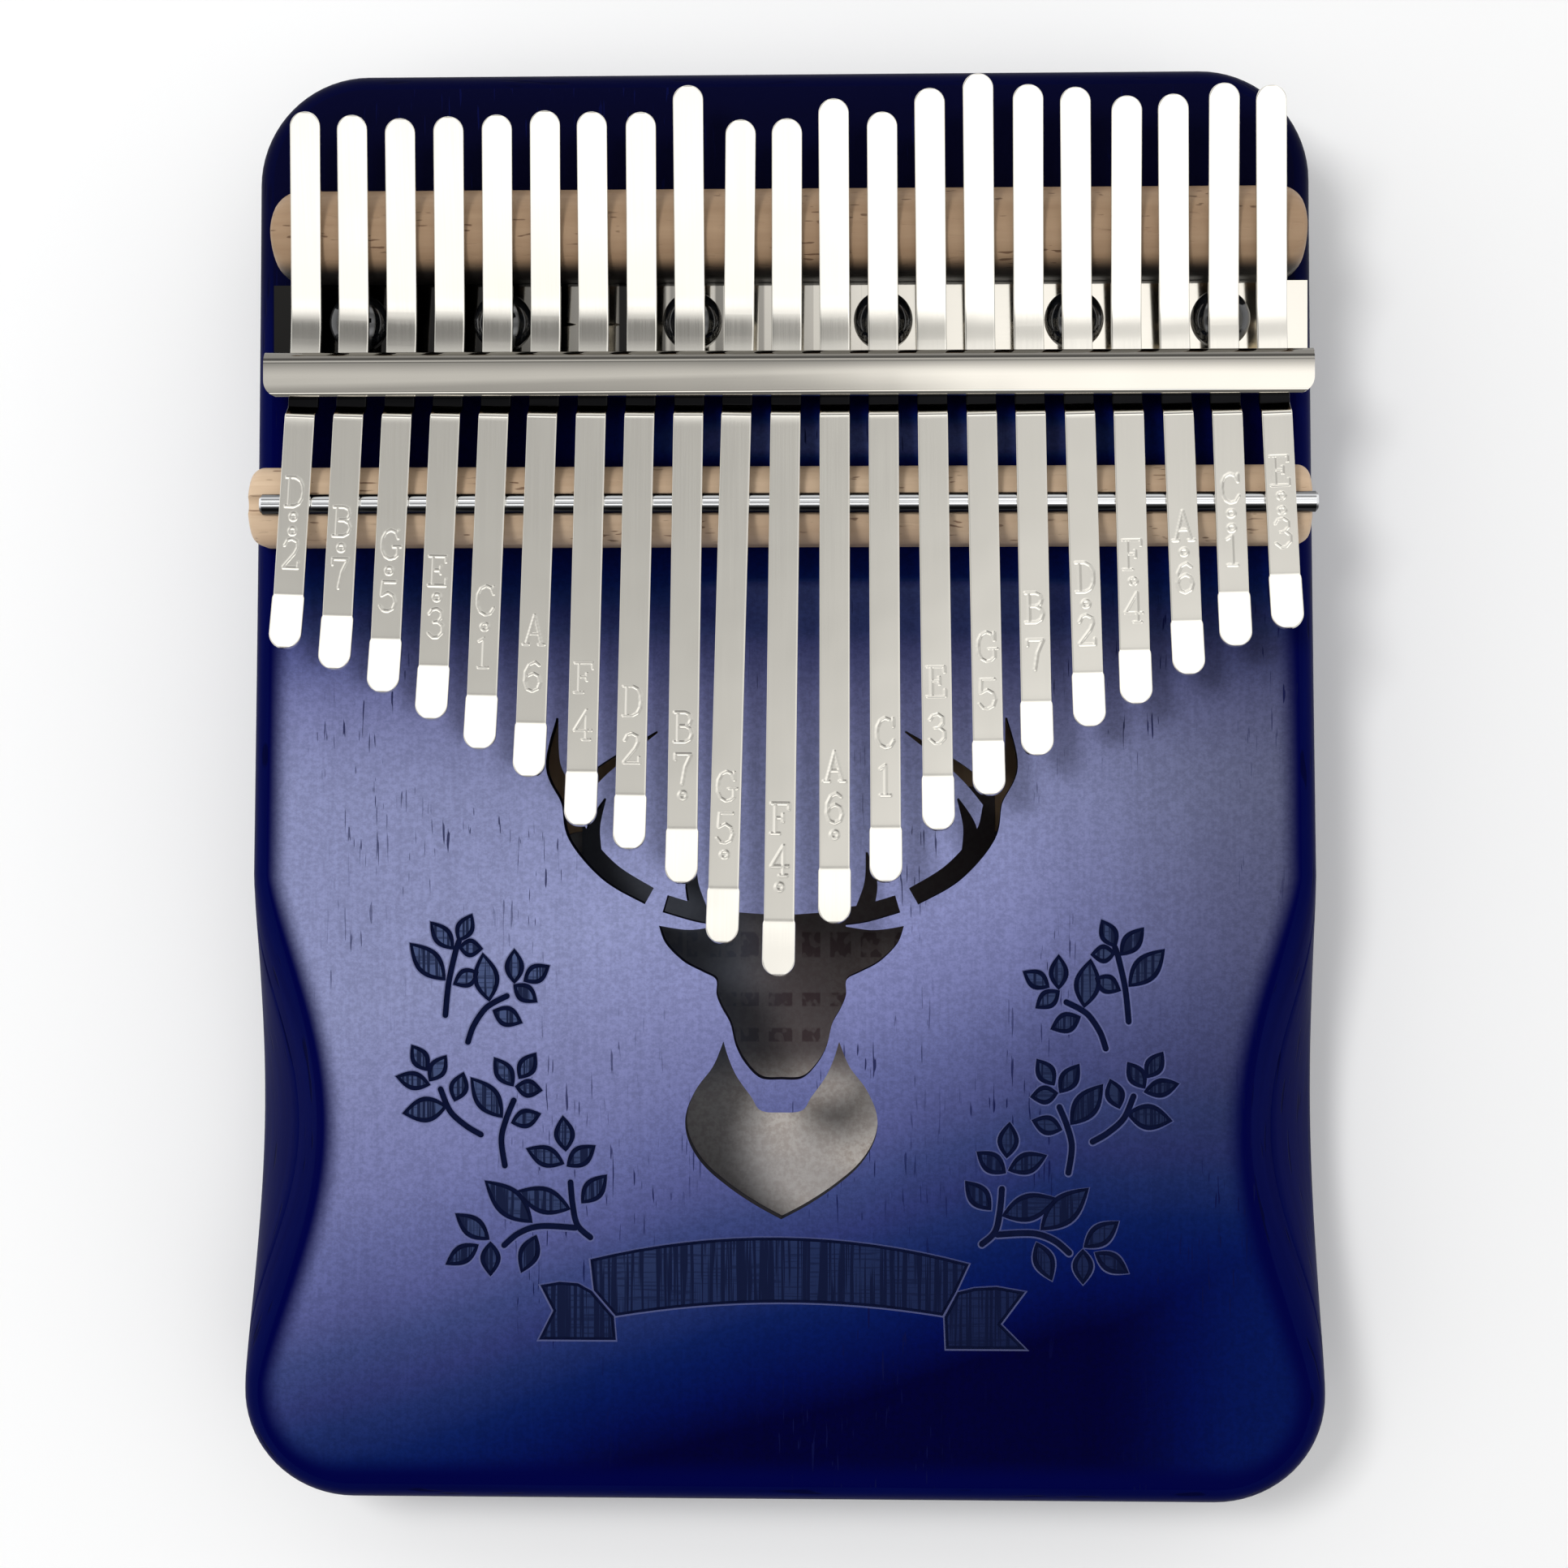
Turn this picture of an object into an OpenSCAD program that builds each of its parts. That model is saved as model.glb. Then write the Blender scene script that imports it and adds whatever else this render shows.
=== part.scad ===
// A 21-key box kalimba (thumb piano). The sound box lies on its back, +Z out of the soundboard and
// +Y towards the head, where the tines are clamped. The origin is the middle of the back face.

/* [Sound box] */
// Length of the sound box along Y
body_length = 208.4; // [206:0.2:214]
// Half of the sound box's width at the head end
head_half_width = 76.6; // [76:0.1:79]
// How much wider each side is at the foot end
foot_flare = 2.8; // [0:0.2:4]
// How far each side draws in at the waist
waist_depth = 0.1; // [0:0.1:2]
// Height of the sound box
body_height = 35; // [33:1:40]
// Radius of the four corners, seen from above
corner_radius = 16; // [14:1:18]
// Thickness of the soundboard
board_thickness = 4; // [3.5:0.5:5]
// Thickness of the back
back_thickness = 4; // [3.5:0.5:5]
// Thickness of the side walls
wall_thickness = 8; // [7:0.5:9]
// Width of the bevelled palm scoops at their middle
scoop_width = 11.6; // [9:0.1:12]
// Depth of the palm scoops at their middle
scoop_depth = 14; // [10:1:15]
// Diameter of the two vibrato holes in the back
vibrato_hole = 10; // [8:1:12]

/* [Tines] */
// Width of a tine
tine_width = 4.3; // [4:0.1:4.4]
// Width of a tine's playing tip
tip_width = 4.6; // [4.4:0.1:4.8]
// Thickness of a tine
tine_thickness = 0.9; // [0.8:0.1:1]
// Distance between neighbouring tines at the pressure bar
tine_pitch = 6.92; // [6.9:0.01:6.95]
// Length of the bent-up playing tip
tip_length = 7.7; // [7:0.1:9]
// Rise of a tine's free tail towards the head, in degrees
tail_rise = 14; // [10:1:16]
// Rise of a tine from its kink by the bar towards its tip, in degrees
tine_rise = 6.5; // [5:0.5:7]
// Further rise of the playing tip, in degrees
tip_rise = 8; // [5:1:10]

/* [Bridges and clamp] */
// Length of the upper bridge
nut_length = 147.6; // [146:0.2:150]
// Length of the lower bridge
bridge_length = 152; // [150:1:153]
// Length of the steel rod on the lower bridge
rod_length = 150.6; // [150:0.1:151]
// Diameter of the steel rod
rod_diameter = 3; // [2.8:0.1:3]
// Length of the clamping bracket
bracket_length = 149.6; // [149:0.1:150]
// Thickness of the bracket's steel sheet
bracket_sheet = 1.5; // [1.2:0.1:1.5]
// Diameter of a screw's head
screw_head = 8.5; // [8:0.1:8.6]

/* [Hidden] */
count = 21;
middle = (count - 1) / 2;

overlap = 1;          // how far a cutting shape runs past the face it cuts
fit_gap = 0.05;       // clearance round a screw's shank

// Speaking length of each tine, from the rod to the tip, left to right
speaking_lengths = [21, 24, 27.3, 31.1, 35.3, 39.2, 46, 49.3, 54, 62.3, 66.8, 59.5, 53.8, 46.6, 41.7, 36.2,
                    32.2, 29, 24.9, 20.9, 18.4];
// How far each tine's tail reaches past the crest of the upper bridge
tail_lengths = [16, 15.5, 15, 15.2, 15.4, 15.9, 15.7, 15.6, 19.1, 14.5, 14.6, 17.2, 15.4, 18.5, 20.4, 18.9,
                18.5, 17.3, 17.5, 18.9, 18.6];
// Each tine's turn out of the body's long axis, in degrees
tine_turns = [-2.3, -1.9, -1.7, -1.6, -1.5, -1.3, -0.8, -0.8, -0.4, -1.2, -0.5, 0.1, 0.3, 0.7, 0.9, 0.8, 1.3,
              0.9, 1.6, 1.3, 1.9];
hardware_x = 1;        // the clamp, rod and upper bridge sit a little right of the body's middle
bridge_x = -0.3;       // and the lower bridge a little left of it

// Sound box
edge_width = 3;       // rounding of the top edge, seen from above
edge_depth = 4;       // depth of the same rounding
back_edge = 4;        // radius of the back's edge
scoop_y = -50;        // middle of the waist and of the palm scoops
scoop_half = 37;      // half of a scoop's length
scoop_flatness = 0.7; // 0 is a round scoop, 1 a flat bevel
side_steps = 30;
corner_steps = 8;
edge_levels = 6;
back_levels = 4;
vibrato_x = 32;
vibrato_y = -12;
board_bottom = body_height - board_thickness;

// Clamp, from the head end down
nut_y = 79.5;
nut_width = 13;
nut_height = 9.6;
nut_foot = 4;         // straight part of the upper bridge's sides
bridge_width = 11.3;
bridge_height = 8.3;
bridge_foot = 4.8;
rod_y = 40.4;
rod_z = 8.8;
nut_end_radius = 3.5;   // rounding of the bars' ends, seen from above
bridge_end_radius = 2;
plate_head_y = 72.9;
web_y = 62.3;         // outer face of the bracket's upright web
flange_front_y = 55.7;
bracket_height = 9.4;
bend_radius = 1.9;
lip_radius = 0.7;     // of the flange's upper front edge
flange_corner = 2.4;   // rounding of the flange's two free corners, seen from above
slot_width = 5.2;
slot_bottom = 5;
slot_top = bracket_height - bracket_sheet;
screw_y = 67.4;
screw_offsets = [-62.3, -41.3, -13.8, 13.8, 41.3, 62.3];
screw_shank = 3.5;
screw_length = 14;
screw_dome = 2.6;
recess_length = 4.6;
recess_width = 1;
recess_depth = 1.5;
block_depth = 11;     // of the wooden block under the clamp
block_bottom = board_bottom - block_depth;
block_low_y = 57;
block_high_y = 88;
block_half_length = 68;

// Tines, with heights above the soundboard
contact_gap = 0.15;   // running clearance at each support
tuning_travel = 1;    // a tine can be pushed this far either way
tail_bend = 7.5;      // length of the bend between the tail and the level part under the bar
bar_end_y = 54;       // the level part ends here, where the tine kinks steeply upwards
kink_y = 52.5;        // and from here it is straight, over the rod to the tip
turn_y = 59;          // each tine is turned about this point on its line
tail_slope = tan(tail_rise);
nut_support = nut_foot + norm([nut_height - nut_foot, nut_width / 2 * tail_slope]);
under_nut = nut_support + contact_gap / 2 + tuning_travel * tail_slope;
under_bar = bracket_height - bracket_sheet - contact_gap - tine_thickness;
under_rod = rod_z + rod_diameter / 2 + contact_gap / 2 + tuning_travel * tan(tine_rise);
tail_bend_y = nut_y - (under_nut - under_bar) / tail_slope;
bend_steps = 8;
tail_corner = 1.9;
tip_corner = 1.9;

// Label glued to the inside of the back
label_size = [64, 76];
label_y = -38;
label_thickness = 0.2;

// ---- Outline of the sound box

// Half width of the body at a height y, as a share of the head's half width
function foot_share(y) = pow(max(0, (body_length / 2 - y) / body_length), 1.5);
function waist_share(y) = exp(-pow((y - scoop_y) / 28, 2));
function half_width(y) = head_half_width + foot_flare * foot_share(y) - waist_depth * waist_share(y);

// 1 in the middle of the palm scoops, 0 past their ends
function scoop(y) = abs(y - scoop_y) >= scoop_half ? 0 : pow(cos(90 * (y - scoop_y) / scoop_half), 1.25);

function corner_arc(x, y, from) = [
    for (k = [0:corner_steps])
        let (a = from + 90 * k / corner_steps)
        [x + corner_radius * cos(a), y + corner_radius * sin(a)]
];

// A rounded rectangle whose long sides have points between the corners
function plain_outline() =
    let (x = head_half_width - corner_radius, y = body_length / 2 - corner_radius)
    concat(
        [for (k = [1:side_steps - 1]) [head_half_width, -y + 2 * y * k / side_steps]],
        corner_arc(x, y, 0),
        corner_arc(-x, y, 90),
        [for (k = [1:side_steps - 1]) [-head_half_width, y - 2 * y * k / side_steps]],
        corner_arc(-x, -y, 180),
        corner_arc(x, -y, 270)
    );

outline = [for (p = plain_outline()) [p.x * half_width(p.y) / head_half_width, p.y]];
points_round = len(outline);

function inward(i) =
    let (a = outline[(i + points_round - 1) % points_round], b = outline[(i + 1) % points_round], d = b - a)
    [-d.y, d.x] / norm(d);

// One ring of the body: each point moved inwards and set at its own height
function ring(inset, height) = [
    for (i = [0:points_round - 1])
        let (p = outline[i] + inward(i) * inset[i])
        [p.x, p.y, height[i]]
];

function top_ring(u) =
    ring(
        [for (p = outline)
            let (s = scoop(p.y), flat = scoop_flatness * s, w = edge_width + (scoop_width - edge_width) * s)
            w * ((1 - flat) * (1 - cos(90 * u)) + flat * u)],
        [for (p = outline)
            let (s = scoop(p.y), flat = scoop_flatness * s, d = edge_depth + (scoop_depth - edge_depth) * s)
            body_height - d * (1 - (1 - flat) * sin(90 * u) - flat * u)]
    );

function back_ring(u, drop) = ring(
    [for (p = outline) back_edge * (1 - sin(90 * u))],
    [for (p = outline) back_edge * (1 - cos(90 * u)) - drop]
);

function lift(points, dz) = [for (p = points) [p.x, p.y, p.z + dz]];

// The whole body's outer shape, run past its top and back so that flat cuts finish them
module body_blank() {
    rings = concat(
        [back_ring(0, overlap)],
        [for (k = [0:back_levels]) back_ring(k / back_levels, 0)],
        [for (k = [0:edge_levels]) top_ring(k / edge_levels)],
        [lift(top_ring(1), overlap)]
    );
    n = points_round;
    last = (len(rings) - 1) * n;
    polyhedron(
        points = [for (r = rings) for (p = r) p],
        faces = concat(
            [[for (i = [0:n - 1]) i]],
            [
                for (j = [0:n:last - n])
                    for (i = [0:n - 1])
                        [j + i, j + n + i, j + n + (i + 1) % n]
            ],
            [
                for (j = [0:n:last - n])
                    for (i = [0:n - 1])
                        [j + i, j + n + (i + 1) % n, j + (i + 1) % n]
            ],
            [[for (i = [n - 1:-1:0]) last + i]]
        )
    );
}

module layer(from, to) {
    translate([-body_length, -body_length, from])
        cube([2 * body_length, 2 * body_length, to - from]);
}

// ---- Stag-shaped sound hole

// A smooth closed curve through the given points; a point given twice is a sharp corner
function curve_point(a, b, c, d, t) =
    0.5 * (2 * b + (c - a) * t + (2 * a - 5 * b + 4 * c - d) * t * t + (3 * b - a - 3 * c + d) * t * t * t);
function smooth(points, steps = 3) =
    let (n = len(points))
    [
        for (i = [0:n - 1])
            if (points[i] != points[(i + 1) % n])
                let (
                    before = points[(i + n - 1) % n],
                    next = points[(i + 1) % n],
                    after = points[(i + 2) % n]
                )
                for (k = [0:steps - 1])
                    curve_point(before, points[i], next, after, k / steps)
    ];

// A half outline from the top of the centre line to its bottom, mirrored to the whole
function both_halves(half) =
    concat(half, [for (i = [len(half) - 1:-1:0]) if (half[i].x != 0) [-half[i].x, half[i].y]]);

head_half = [
    [0, -18.6], [4, -18.4], [9, -18], [9, -18], [9.4, -20.3], [9.4, -20.3], [13.5, -20.8], [17.8, -20.2],
    [17.8, -20.2], [16.8, -22.8], [14.2, -25.4], [11.4, -26.9], [9.5, -28], [9.4, -30.2], [8.6, -32.2],
    [7.4, -34.4], [6.6, -37.6], [5.2, -40.2], [3, -42.3], [0, -42.5]
];
chest_half = [
    [0, -47.3], [3, -47], [4.4, -45], [6.4, -42.2], [7.6, -39.6], [8.4, -37], [8.4, -37], [9.9, -40.6],
    [12.4, -44], [13.9, -47.8], [13.5, -51.4], [11.3, -55], [7.6, -58.2], [3.7, -60.8], [0, -62.8], [0, -62.8]
];
// Antler branches: points along the middle of each, and its width at each point
antler_branches = [
    [[[19.2, -15.9], [25, -12.4], [29.6, -7], [30.8, -2], [33.2, 3], [32.6, 10]], [2.7, 3, 3, 2.6, 2.2, 0.3]],
    [[[30.4, -2], [26, 2.4], [18, 8]], [2.6, 1.7, 0.3]],
    [[[27.4, -9.8], [27.3, -5.8], [25.6, -1.7]], [2.6, 1.9, 0.3]],
    [[[8, -18.9], [12, -18.4], [16.9, -17]], [2.6, 2.6, 2.6]],
    [[[12, -18], [13, -14], [12.4, -9.5]], [2.6, 1.9, 0.3]]
];

function branch_side(points, widths, side) = [
    for (i = [0:len(points) - 1])
        let (
            d = points[min(i + 1, len(points) - 1)] - points[max(i - 1, 0)],
            n = [-d.y, d.x] / norm(d)
        )
        points[i] + side * n * widths[i] / 2
];

module branch(points, widths) {
    left = branch_side(points, widths, 1);
    right = branch_side(points, widths, -1);
    polygon(concat(left, [for (i = [len(right) - 1:-1:0]) right[i]]));
}

module stag_hole() {
    translate([0, 0, board_bottom - overlap])
        linear_extrude(board_thickness + 2 * overlap) {
            polygon(smooth(both_halves(chest_half)));
            union() {
                polygon(smooth(both_halves(head_half)));
                for (side = [0, 1], b = antler_branches)
                    mirror([side, 0])
                        branch(b[0], b[1]);
            }
        }
}

// ---- Sound box pieces

module screw_holes(diameter, from, to) {
    for (x = screw_offsets)
        translate([hardware_x + x, screw_y, from])
            cylinder(h = to - from, d = diameter, $fn = 32);
}

module soundboard() {
    color([0.33, 0.35, 0.58])
        difference() {
            intersection() {
                body_blank();
                layer(board_bottom, body_height);
            }
            stag_hole();
            screw_holes(screw_shank + 2 * fit_gap, board_bottom - overlap, body_height + overlap);
        }
}

module body_rim() {
    cavity = [
        for (i = [0:points_round - 1])
            outline[i] + inward(i) * (wall_thickness + (scoop_width - edge_width) * scoop(outline[i].y))
    ];
    color([0.05, 0.06, 0.28])
        difference() {
            intersection() {
                body_blank();
                layer(back_thickness, board_bottom);
            }
            translate([0, 0, back_thickness - overlap])
                linear_extrude(board_bottom - back_thickness + 2 * overlap)
                    polygon(cavity);
        }
}

module back_plate() {
    color([0.09, 0.1, 0.36])
        difference() {
            intersection() {
                body_blank();
                layer(0, back_thickness);
            }
            for (side = [-1, 1])
                translate([side * vibrato_x, vibrato_y, -overlap])
                    cylinder(h = back_thickness + 2 * overlap, d = vibrato_hole, $fn = 48);
        }
}

module clamp_block() {
    color([0.72, 0.55, 0.36])
        difference() {
            translate([-block_half_length, block_low_y, block_bottom])
                cube([2 * block_half_length, block_high_y - block_low_y, block_depth]);
            screw_holes(screw_shank + 2 * fit_gap, block_bottom - overlap, board_bottom + overlap);
        }
}

module inner_label() {
    color([0.55, 0.5, 0.47])
        translate([-label_size.x / 2, label_y - label_size.y / 2, back_thickness])
            cube([label_size.x, label_size.y, label_thickness]);
}

// ---- Bridges

// Section of a wooden bridge: straight feet under half an ellipse, in Y and Z
function bridge_section(width, height, foot) = concat(
    [[-width / 2, 0], [width / 2, 0]],
    [for (a = [0:7.5:180]) [width / 2 * cos(a), foot + (height - foot) * sin(a)]]
);

module wooden_bar(length, width, height, foot, end_radius) {
    flat = [length, width] / 2 - [end_radius, end_radius];
    intersection() {
        rotate([90, 0, 90])
            linear_extrude(length, center = true)
                polygon(bridge_section(width, height, foot));
        linear_extrude(2 * height, center = true)
            union() {
                for (x = [-flat.x, flat.x], y = [-flat.y, flat.y])
                    translate([x, y])
                        circle(r = end_radius, $fn = 32);
                square([2 * flat.x, width], center = true);
                square([length, 2 * flat.y], center = true);
            }
    }
}

module upper_bridge() {
    color([0.8, 0.66, 0.47])
        translate([hardware_x, nut_y, body_height])
            wooden_bar(nut_length, nut_width, nut_height, nut_foot, nut_end_radius);
}

module rod_shape(diameter, length) {
    translate([hardware_x, rod_y, body_height + rod_z])
        rotate([0, 90, 0])
            cylinder(h = length, d = diameter, center = true, $fn = 48);
}

module lower_bridge() {
    color([0.8, 0.66, 0.47])
        difference() {
            translate([bridge_x, rod_y, body_height])
                wooden_bar(bridge_length, bridge_width, bridge_height, bridge_foot, bridge_end_radius);
            rod_shape(rod_diameter, bridge_length + 2 * overlap);
        }
}

module bridge_rod() {
    color([0.85, 0.86, 0.88])
        rod_shape(rod_diameter, rod_length);
}

// ---- Clamping bracket and its screws

// Puts a shape that is drawn along the Y axis, with heights above the soundboard, on tine i's line
module on_tine_line(i) {
    pivot = [hardware_x + (i - middle) * tine_pitch, turn_y, 0];
    translate([0, 0, body_height])
        translate(pivot)
            rotate([0, 0, tine_turns[i]])
                translate([0, -pivot.y, 0])
                    children();
}

// One bent sheet: a foot screwed to the soundboard, an upright web and a flange over the tines
function bracket_section() =
    let (
        bend = [web_y, bracket_height] - [bend_radius, bend_radius],
        front = [flange_front_y + lip_radius, bracket_height - lip_radius]
    )
    concat(
        [[web_y - bracket_sheet, 0], [plate_head_y, 0]],
        [[plate_head_y, bracket_sheet], [web_y, bracket_sheet]],
        [for (a = [0:15:90]) bend + bend_radius * [cos(a), sin(a)]],
        [for (a = [90:30:180]) front + lip_radius * [cos(a), sin(a)]],
        [[flange_front_y, bracket_height - bracket_sheet]],
        [for (a = [90:-30:0]) bend + (bend_radius - bracket_sheet) * [cos(a), sin(a)]]
    );

module clamp_bracket() {
    color([0.8, 0.8, 0.8])
        difference() {
            translate([hardware_x, 0, body_height])
                intersection() {
                    rotate([90, 0, 90])
                        linear_extrude(bracket_length, center = true)
                            polygon(bracket_section());
                    linear_extrude(bracket_height)
                        rounded_end(plate_head_y, flange_front_y, bracket_length, flange_corner);
                }
            for (i = [0:count - 1])
                on_tine_line(i)
                    translate([-slot_width / 2, web_y - bracket_sheet - overlap, slot_bottom])
                        cube([slot_width, bracket_sheet + 2 * overlap, slot_top - slot_bottom]);
            screw_holes(screw_shank + 0.7, body_height - overlap, body_height + bracket_sheet + overlap);
        }
}

module clamp_screw(i) {
    head_radius = screw_head / 2;
    color([0.05, 0.05, 0.06])
        translate([hardware_x + screw_offsets[i], screw_y, body_height + bracket_sheet])
            difference() {
                rotate_extrude($fn = 48)
                    polygon(concat(
                        [[0, -screw_length], [screw_shank / 2 - 0.8, -screw_length],
                         [screw_shank / 2, -screw_length + 1.6], [screw_shank / 2, 0], [head_radius, 0]],
                        [for (a = [0:15:90]) [
                            head_radius - 1.6 + 1.6 * cos(a),
                            0.8 + (screw_dome - 0.8) * sin(a)
                        ]],
                        [[0, screw_dome]]
                    ));
                for (turn = [0, 90])
                    rotate([0, 0, turn + 20 * i])
                        translate([-recess_length / 2, -recess_width / 2, screw_dome - recess_depth])
                            cube([recess_length, recess_width, recess_depth + overlap]);
            }
}

// ---- Tines

// Underside of the bend that joins the sloping tail to the level part, from the head end down
tail_curve = [
    for (k = [bend_steps:-1:0])
        let (t = k / bend_steps)
        [tail_bend_y + tail_bend * (t - 0.5), under_bar + tail_slope * tail_bend * t * t / 2]
];

// The underside's points moved square to it by the sheet's thickness, in the opposite order
function upward(a, b) = [b.y - a.y, a.x - b.x] / norm(b - a);
function raised(points) =
    let (last = len(points) - 1)
    [
        for (i = [last:-1:0])
            let (
                before = upward(points[max(i, 1) - 1], points[max(i, 1)]),
                after = upward(points[min(i, last - 1)], points[min(i, last - 1) + 1])
            )
            points[i] + tine_thickness * (before + after) / (1 + before * after)
    ];

// Points along the underside of a tine's straight part
function on_straight(y) = [y, under_rod + (rod_y - y) * tan(tine_rise)];

// A strip of sheet whose underside follows the given points of Y and height
module strip(under, width) {
    rotate([90, 0, 90])
        linear_extrude(width, center = true)
            polygon(concat(under, raised(under)));
}

// A rectangle from y_from down to y_to whose far corners are rounded
module rounded_end(y_from, y_to, width, radius) {
    way = sign(y_to - y_from);
    for (side = [-1, 1])
        translate([side * (width / 2 - radius), y_to - way * radius])
            circle(r = radius, $fn = 32);
    translate([0, (y_from + y_to - way * radius) / 2])
        square([width, abs(y_to - y_from) - radius], center = true);
    translate([0, (y_from + y_to) / 2])
        square([width - 2 * radius, abs(y_to - y_from)], center = true);
}

// The clamped part of a tine, from behind the upper bridge to the rod
module tine_tail(i) {
    end_y = nut_y + tail_lengths[i];
    color([0.86, 0.85, 0.82])
        on_tine_line(i)
            intersection() {
                strip(concat(
                    [[end_y + overlap, under_nut + (end_y + overlap - nut_y) * tail_slope]],
                    tail_curve,
                    [[bar_end_y, under_bar], on_straight(kink_y), on_straight(rod_y - overlap)]
                ), tine_width);
                linear_extrude(under_nut + (end_y - nut_y) * tail_slope + 2 * tine_thickness)
                    rounded_end(rod_y, end_y, tine_width, tail_corner);
            }
}

// The speaking part of a tine, from the rod to its bent-up tip
module tine_blade(i) {
    end_y = rod_y - speaking_lengths[i];
    bend_y = end_y + tip_length;
    bend = on_straight(bend_y);
    past_tip = bend + (tip_length + overlap) * [-1, tan(tine_rise + tip_rise)];
    color([0.78, 0.77, 0.73])
        on_tine_line(i)
            intersection() {
                strip([on_straight(rod_y + overlap), bend, past_tip], tip_width);
                linear_extrude(past_tip.y + tine_thickness)
                    union() {
                        translate([0, (rod_y + bend_y) / 2])
                            square([tine_width, rod_y - bend_y], center = true);
                        rounded_end(bend_y, end_y, tip_width, tip_corner);
                    }
            }
}

back_plate();
body_rim();
soundboard();
clamp_block();
inner_label();
upper_bridge();
lower_bridge();
bridge_rod();
clamp_bracket();
for (i = [0:5])
    clamp_screw(i);
for (i = [0:count - 1])
    tine_tail(i);
for (i = [0:count - 1])
    tine_blade(i);
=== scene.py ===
"""Looks of the box kalimba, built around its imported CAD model. Shapes are worked out in millimetres."""
import math

import bpy
import numpy as np
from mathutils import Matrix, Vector


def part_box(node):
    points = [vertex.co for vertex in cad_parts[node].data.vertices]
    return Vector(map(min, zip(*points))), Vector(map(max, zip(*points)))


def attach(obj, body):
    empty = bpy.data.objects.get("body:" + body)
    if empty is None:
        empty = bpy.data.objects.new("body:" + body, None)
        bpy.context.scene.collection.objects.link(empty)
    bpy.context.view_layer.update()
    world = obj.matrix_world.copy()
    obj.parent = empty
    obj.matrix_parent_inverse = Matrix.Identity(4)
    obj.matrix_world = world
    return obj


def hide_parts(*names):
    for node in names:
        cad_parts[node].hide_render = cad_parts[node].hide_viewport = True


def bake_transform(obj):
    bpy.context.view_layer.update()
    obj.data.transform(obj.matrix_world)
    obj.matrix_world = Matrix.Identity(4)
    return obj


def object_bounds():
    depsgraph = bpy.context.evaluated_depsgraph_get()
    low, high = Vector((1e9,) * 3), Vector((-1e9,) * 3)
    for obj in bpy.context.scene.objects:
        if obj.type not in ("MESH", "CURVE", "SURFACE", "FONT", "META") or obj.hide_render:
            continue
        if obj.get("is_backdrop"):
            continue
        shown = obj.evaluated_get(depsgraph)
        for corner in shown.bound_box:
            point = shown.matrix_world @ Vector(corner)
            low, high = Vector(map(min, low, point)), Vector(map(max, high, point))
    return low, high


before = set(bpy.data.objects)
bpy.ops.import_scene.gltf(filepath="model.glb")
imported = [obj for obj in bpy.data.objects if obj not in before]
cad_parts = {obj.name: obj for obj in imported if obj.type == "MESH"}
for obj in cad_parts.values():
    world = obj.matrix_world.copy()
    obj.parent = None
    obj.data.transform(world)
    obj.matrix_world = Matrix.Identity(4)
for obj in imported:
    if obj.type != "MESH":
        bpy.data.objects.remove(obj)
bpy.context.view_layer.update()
MM = 0.001

# ---- The part's own dimensions, in mm, repeated from the CAD source
BODY_LENGTH = 208.4
HEAD_HALF_WIDTH = 76.6
FOOT_FLARE = 2.8
WAIST_DEPTH, WAIST_REACH = 0.1, 28
BODY_HEIGHT = 35
CORNER_RADIUS = 16
BOARD_BOTTOM = 31
BACK_TOP, BACK_ROUNDING = 4, 4
VIBRATO_X, VIBRATO_Y, VIBRATO_RADIUS = 32, -12, 5
WALL = 8
SCOOP_WIDTH, SCOOP_DEPTH, SCOOP_Y, SCOOP_HALF, SCOOP_FLATNESS, SCOOP_POWER = 11.6, 14, -50, 37, 0.7, 1.25
EDGE_WIDTH, EDGE_DEPTH = 3, 4
HARDWARE_X = 1
BRIDGE_X = -0.3

NUT_Y, NUT_WIDTH, NUT_HEIGHT, NUT_FOOT, NUT_LENGTH, NUT_END_RADIUS = 79.5, 13, 9.6, 4, 147.6, 3.5
ROD_Y, ROD_Z, ROD_RADIUS, ROD_LENGTH = 40.4, 8.8, 1.5, 150.6
BRIDGE_WIDTH, BRIDGE_HEIGHT, BRIDGE_FOOT, BRIDGE_LENGTH, BRIDGE_END_RADIUS = 11.3, 8.3, 4.8, 152, 2
BRACKET_HEIGHT, SHEET = 9.4, 1.5

COUNT = 21
PITCH = 6.92
TURN_Y = 59
TINE_WIDTH, TIP_WIDTH, THICKNESS = 4.3, 4.6, 0.9
TIP_LENGTH = 7.7
TAIL_SLOPE = math.tan(math.radians(14))
RISE = math.tan(math.radians(6.5))
TIP_RISE = math.tan(math.radians(14.5))
TAIL_BEND = 7.5
BAR_END_Y, KINK_Y = 54, 52.5
UNDER_BAR = BRACKET_HEIGHT - SHEET - 0.15 - THICKNESS
UNDER_ROD = ROD_Z + ROD_RADIUS + 0.075 + RISE
UNDER_NUT = NUT_FOOT + math.hypot(NUT_HEIGHT - NUT_FOOT, NUT_WIDTH / 2 * TAIL_SLOPE) + 0.075 + TAIL_SLOPE
SPEAKING = [21, 24, 27.3, 31.1, 35.3, 39.2, 46, 49.3, 54, 62.3, 66.8, 59.5, 53.8, 46.6, 41.7, 36.2,
            32.2, 29, 24.9, 20.9, 18.4]
TAILS = [16, 15.5, 15, 15.2, 15.4, 15.9, 15.7, 15.6, 19.1, 14.5, 14.6, 17.2, 15.4, 18.5, 20.4, 18.9,
         18.5, 17.3, 17.5, 18.9, 18.6]
TURNS = [-2.3, -1.9, -1.7, -1.6, -1.5, -1.3, -0.8, -0.8, -0.4, -1.2, -0.5, 0.1, 0.3, 0.7, 0.9, 0.8, 1.3,
         0.9, 1.6, 1.3, 1.9]


# ---- Node materials

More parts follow.
